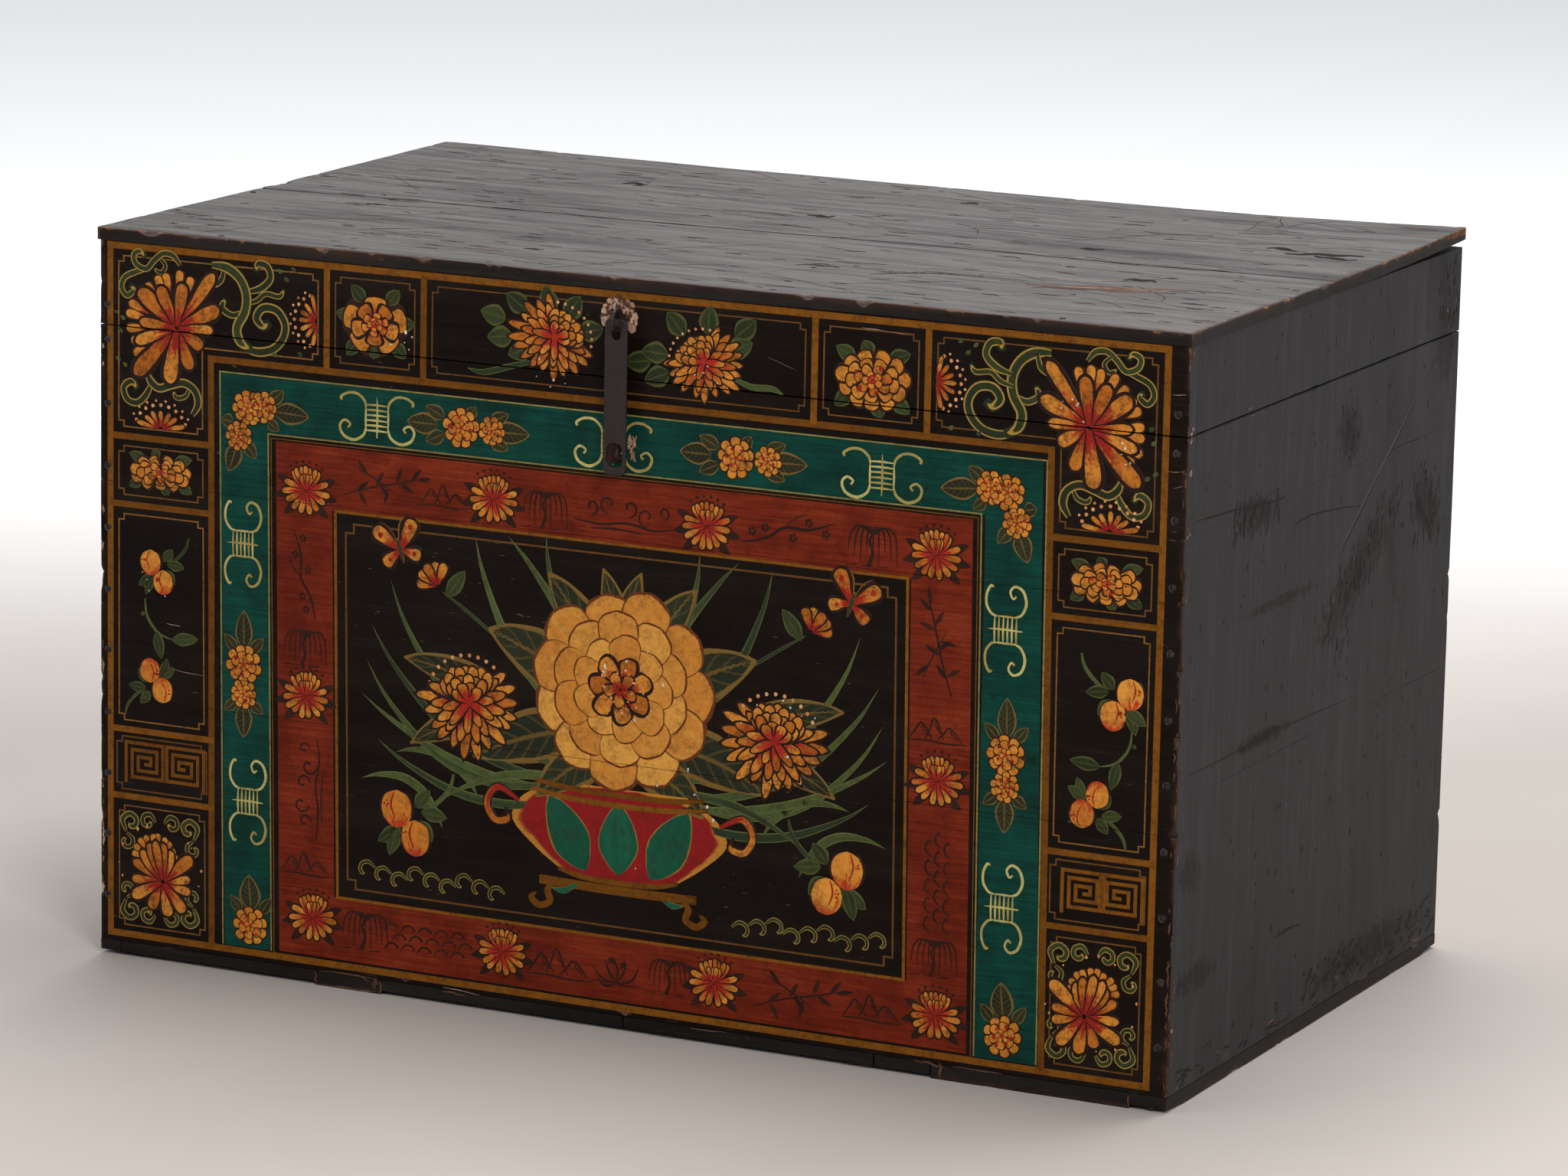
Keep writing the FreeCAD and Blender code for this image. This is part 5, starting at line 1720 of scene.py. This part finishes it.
class TRUNK_OT_ironwork(bpy.types.Operator):
    """Forge the hasp, its eye and staple, and the two hinges"""
    bl_idname = "trunk.ironwork"
    bl_label = "Ironwork"

    def execute(self, context):
        forged("hasp_strap", "hasp", 0.55 * MM, 0.22 * MM)
        forged("hasp_eye", "lid", 0.0, 0.16 * MM)
        forged("lock_staple", "base", 0.0, 0.16 * MM)
        for side in ("left", "right"):
            for part in ("base_leaf", "lid_leaf", "pin"):
                coat(f"hinge_{side}_{part}", "black_iron")
        for node in ("wall_dowels", "lid_top_dowels"):
            coat(node, "bamboo")
        return {"FINISHED"}


class TRUNK_OT_stage(bpy.types.Operator):
    """Set the camera, the soft light and the pale floor"""
    bl_idname = "trunk.stage"
    bl_label = "Stage"

    def execute(self, context):
        stage = context.scene.trunk_stage
        lens = bpy.data.cameras.new("camera")
        lens.lens = stage.lens
        lens.sensor_width = 36.0
        camera = bpy.data.objects.new("camera", lens)
        camera.location = stage.camera_place
        camera.rotation_euler = stage.camera_turn
        context.scene.collection.objects.link(camera)
        context.scene.camera = camera
        f = Finish("pale_floor")
        cloud = f.noise(0.7, 4, 0.5)
        x, y, z = f.axes()
        behind = (y - x * 0.5).ramp(0.6, 3.4)
        far = behind.high(f.maths("SQRT", x * x + y * y).ramp(1.6, 3.6))
        near = f.mix(cloud.ramp(0.3, 0.7), tint(184, 175, 168), tint(192, 184, 177))
        seen = f.node("ShaderNodeLightPath").part("Is Camera Ray")
        white = f.mix(behind, (0.56, 0.56, 0.57, 1.0), (0.32, 0.32, 0.33, 1.0))
        glow = f.mix(far * seen, (0.0, 0.0, 0.0, 1.0), white)
        f.done(f.mix(far, near, tint(246, 246, 247)), 0.5, Emission_Color=glow, Emission_Strength=1.0)
        floor = bpy.data.meshes.new("floor")
        corners = [(FLOOR_REACH * u, FLOOR_REACH * v, 0) for u, v in ((-1, -1), (1, -1), (1, 1), (-1, 1))]
        floor.from_pydata(corners, [], [(0, 1, 2, 3)])
        floor.materials.append(f.material)
        ground = bpy.data.objects.new("floor", floor)
        context.scene.collection.objects.link(ground)
        for name, place, size, power in (("key", (2.8, -3.2, 2.8), 1.3, stage.key * 1.3),
                                         ("side", (-3.6, -4.2, 3.0), 3.0, stage.key * 0.75),
                                         ("top", (0.2, 1.4, 4.8), 3.6, stage.key * 3.2)):
            lamp = bpy.data.lights.new(name, "AREA")
            lamp.energy = power
            lamp.size = size
            light = bpy.data.objects.new(name, lamp)
            light.location = place
            aim = Vector((0.0, 0.0, 0.3)) - Vector(place)
            light.rotation_euler = aim.to_track_quat("-Z", "Y").to_euler()
            context.scene.collection.objects.link(light)
        world = bpy.data.worlds.new("soft_light")
        world.use_nodes = True
        g = Graph(world.node_tree)
        world.node_tree.nodes.clear()
        sky = g.node("ShaderNodeBackground", {}, {"Color": tint(236, 240, 244), "Strength": stage.fill})
        white = g.node("ShaderNodeBackground", {}, {"Color": tint(244, 244, 246), "Strength": 1.0})
        seen = g.node("ShaderNodeLightPath").part("Is Camera Ray")
        shown = g.node("ShaderNodeMixShader", {}, {0: seen, 1: sky, 2: white})
        g.node("ShaderNodeOutputWorld", {}, {"Surface": shown})
        context.scene.world = world
        context.scene.view_settings.view_transform = "Standard"
        return {"FINISHED"}


class TRUNK_PT_panel(bpy.types.Panel):
    """The trunk's steps and sizes"""
    bl_label = "Painted trunk"
    bl_idname = "TRUNK_PT_panel"
    bl_space_type = "VIEW_3D"
    bl_region_type = "UI"
    bl_category = "Trunk"

    def draw(self, context):
        for step in STEPS:
            self.layout.operator(step.bl_idname)
        for group in (context.scene.trunk, context.scene.trunk_paint, context.scene.trunk_stage):
            for name in group.__annotations__:
                self.layout.prop(group, name)


STEPS = (TRUNK_OT_walls, TRUNK_OT_bottom, TRUNK_OT_lid, TRUNK_OT_painting, TRUNK_OT_nails, TRUNK_OT_ironwork,
         TRUNK_OT_stage)
GROUPS = (("trunk", TrunkSizes), ("trunk_paint", PaintSizes), ("trunk_stage", StageSizes))


def register():
    for name, group in GROUPS:
        bpy.utils.register_class(group)
        setattr(bpy.types.Scene, name, PointerProperty(type=group))
    for step in (*STEPS, TRUNK_PT_panel):
        bpy.utils.register_class(step)


def unregister():
    for step in (TRUNK_PT_panel, *reversed(STEPS)):
        bpy.utils.unregister_class(step)
    for name, group in reversed(GROUPS):
        delattr(bpy.types.Scene, name)
        bpy.utils.unregister_class(group)


def main():
    register()
    for step in STEPS:
        group, name = step.bl_idname.split(".")
        getattr(getattr(bpy.ops, group), name)()


if __name__ == "__main__":
    main()
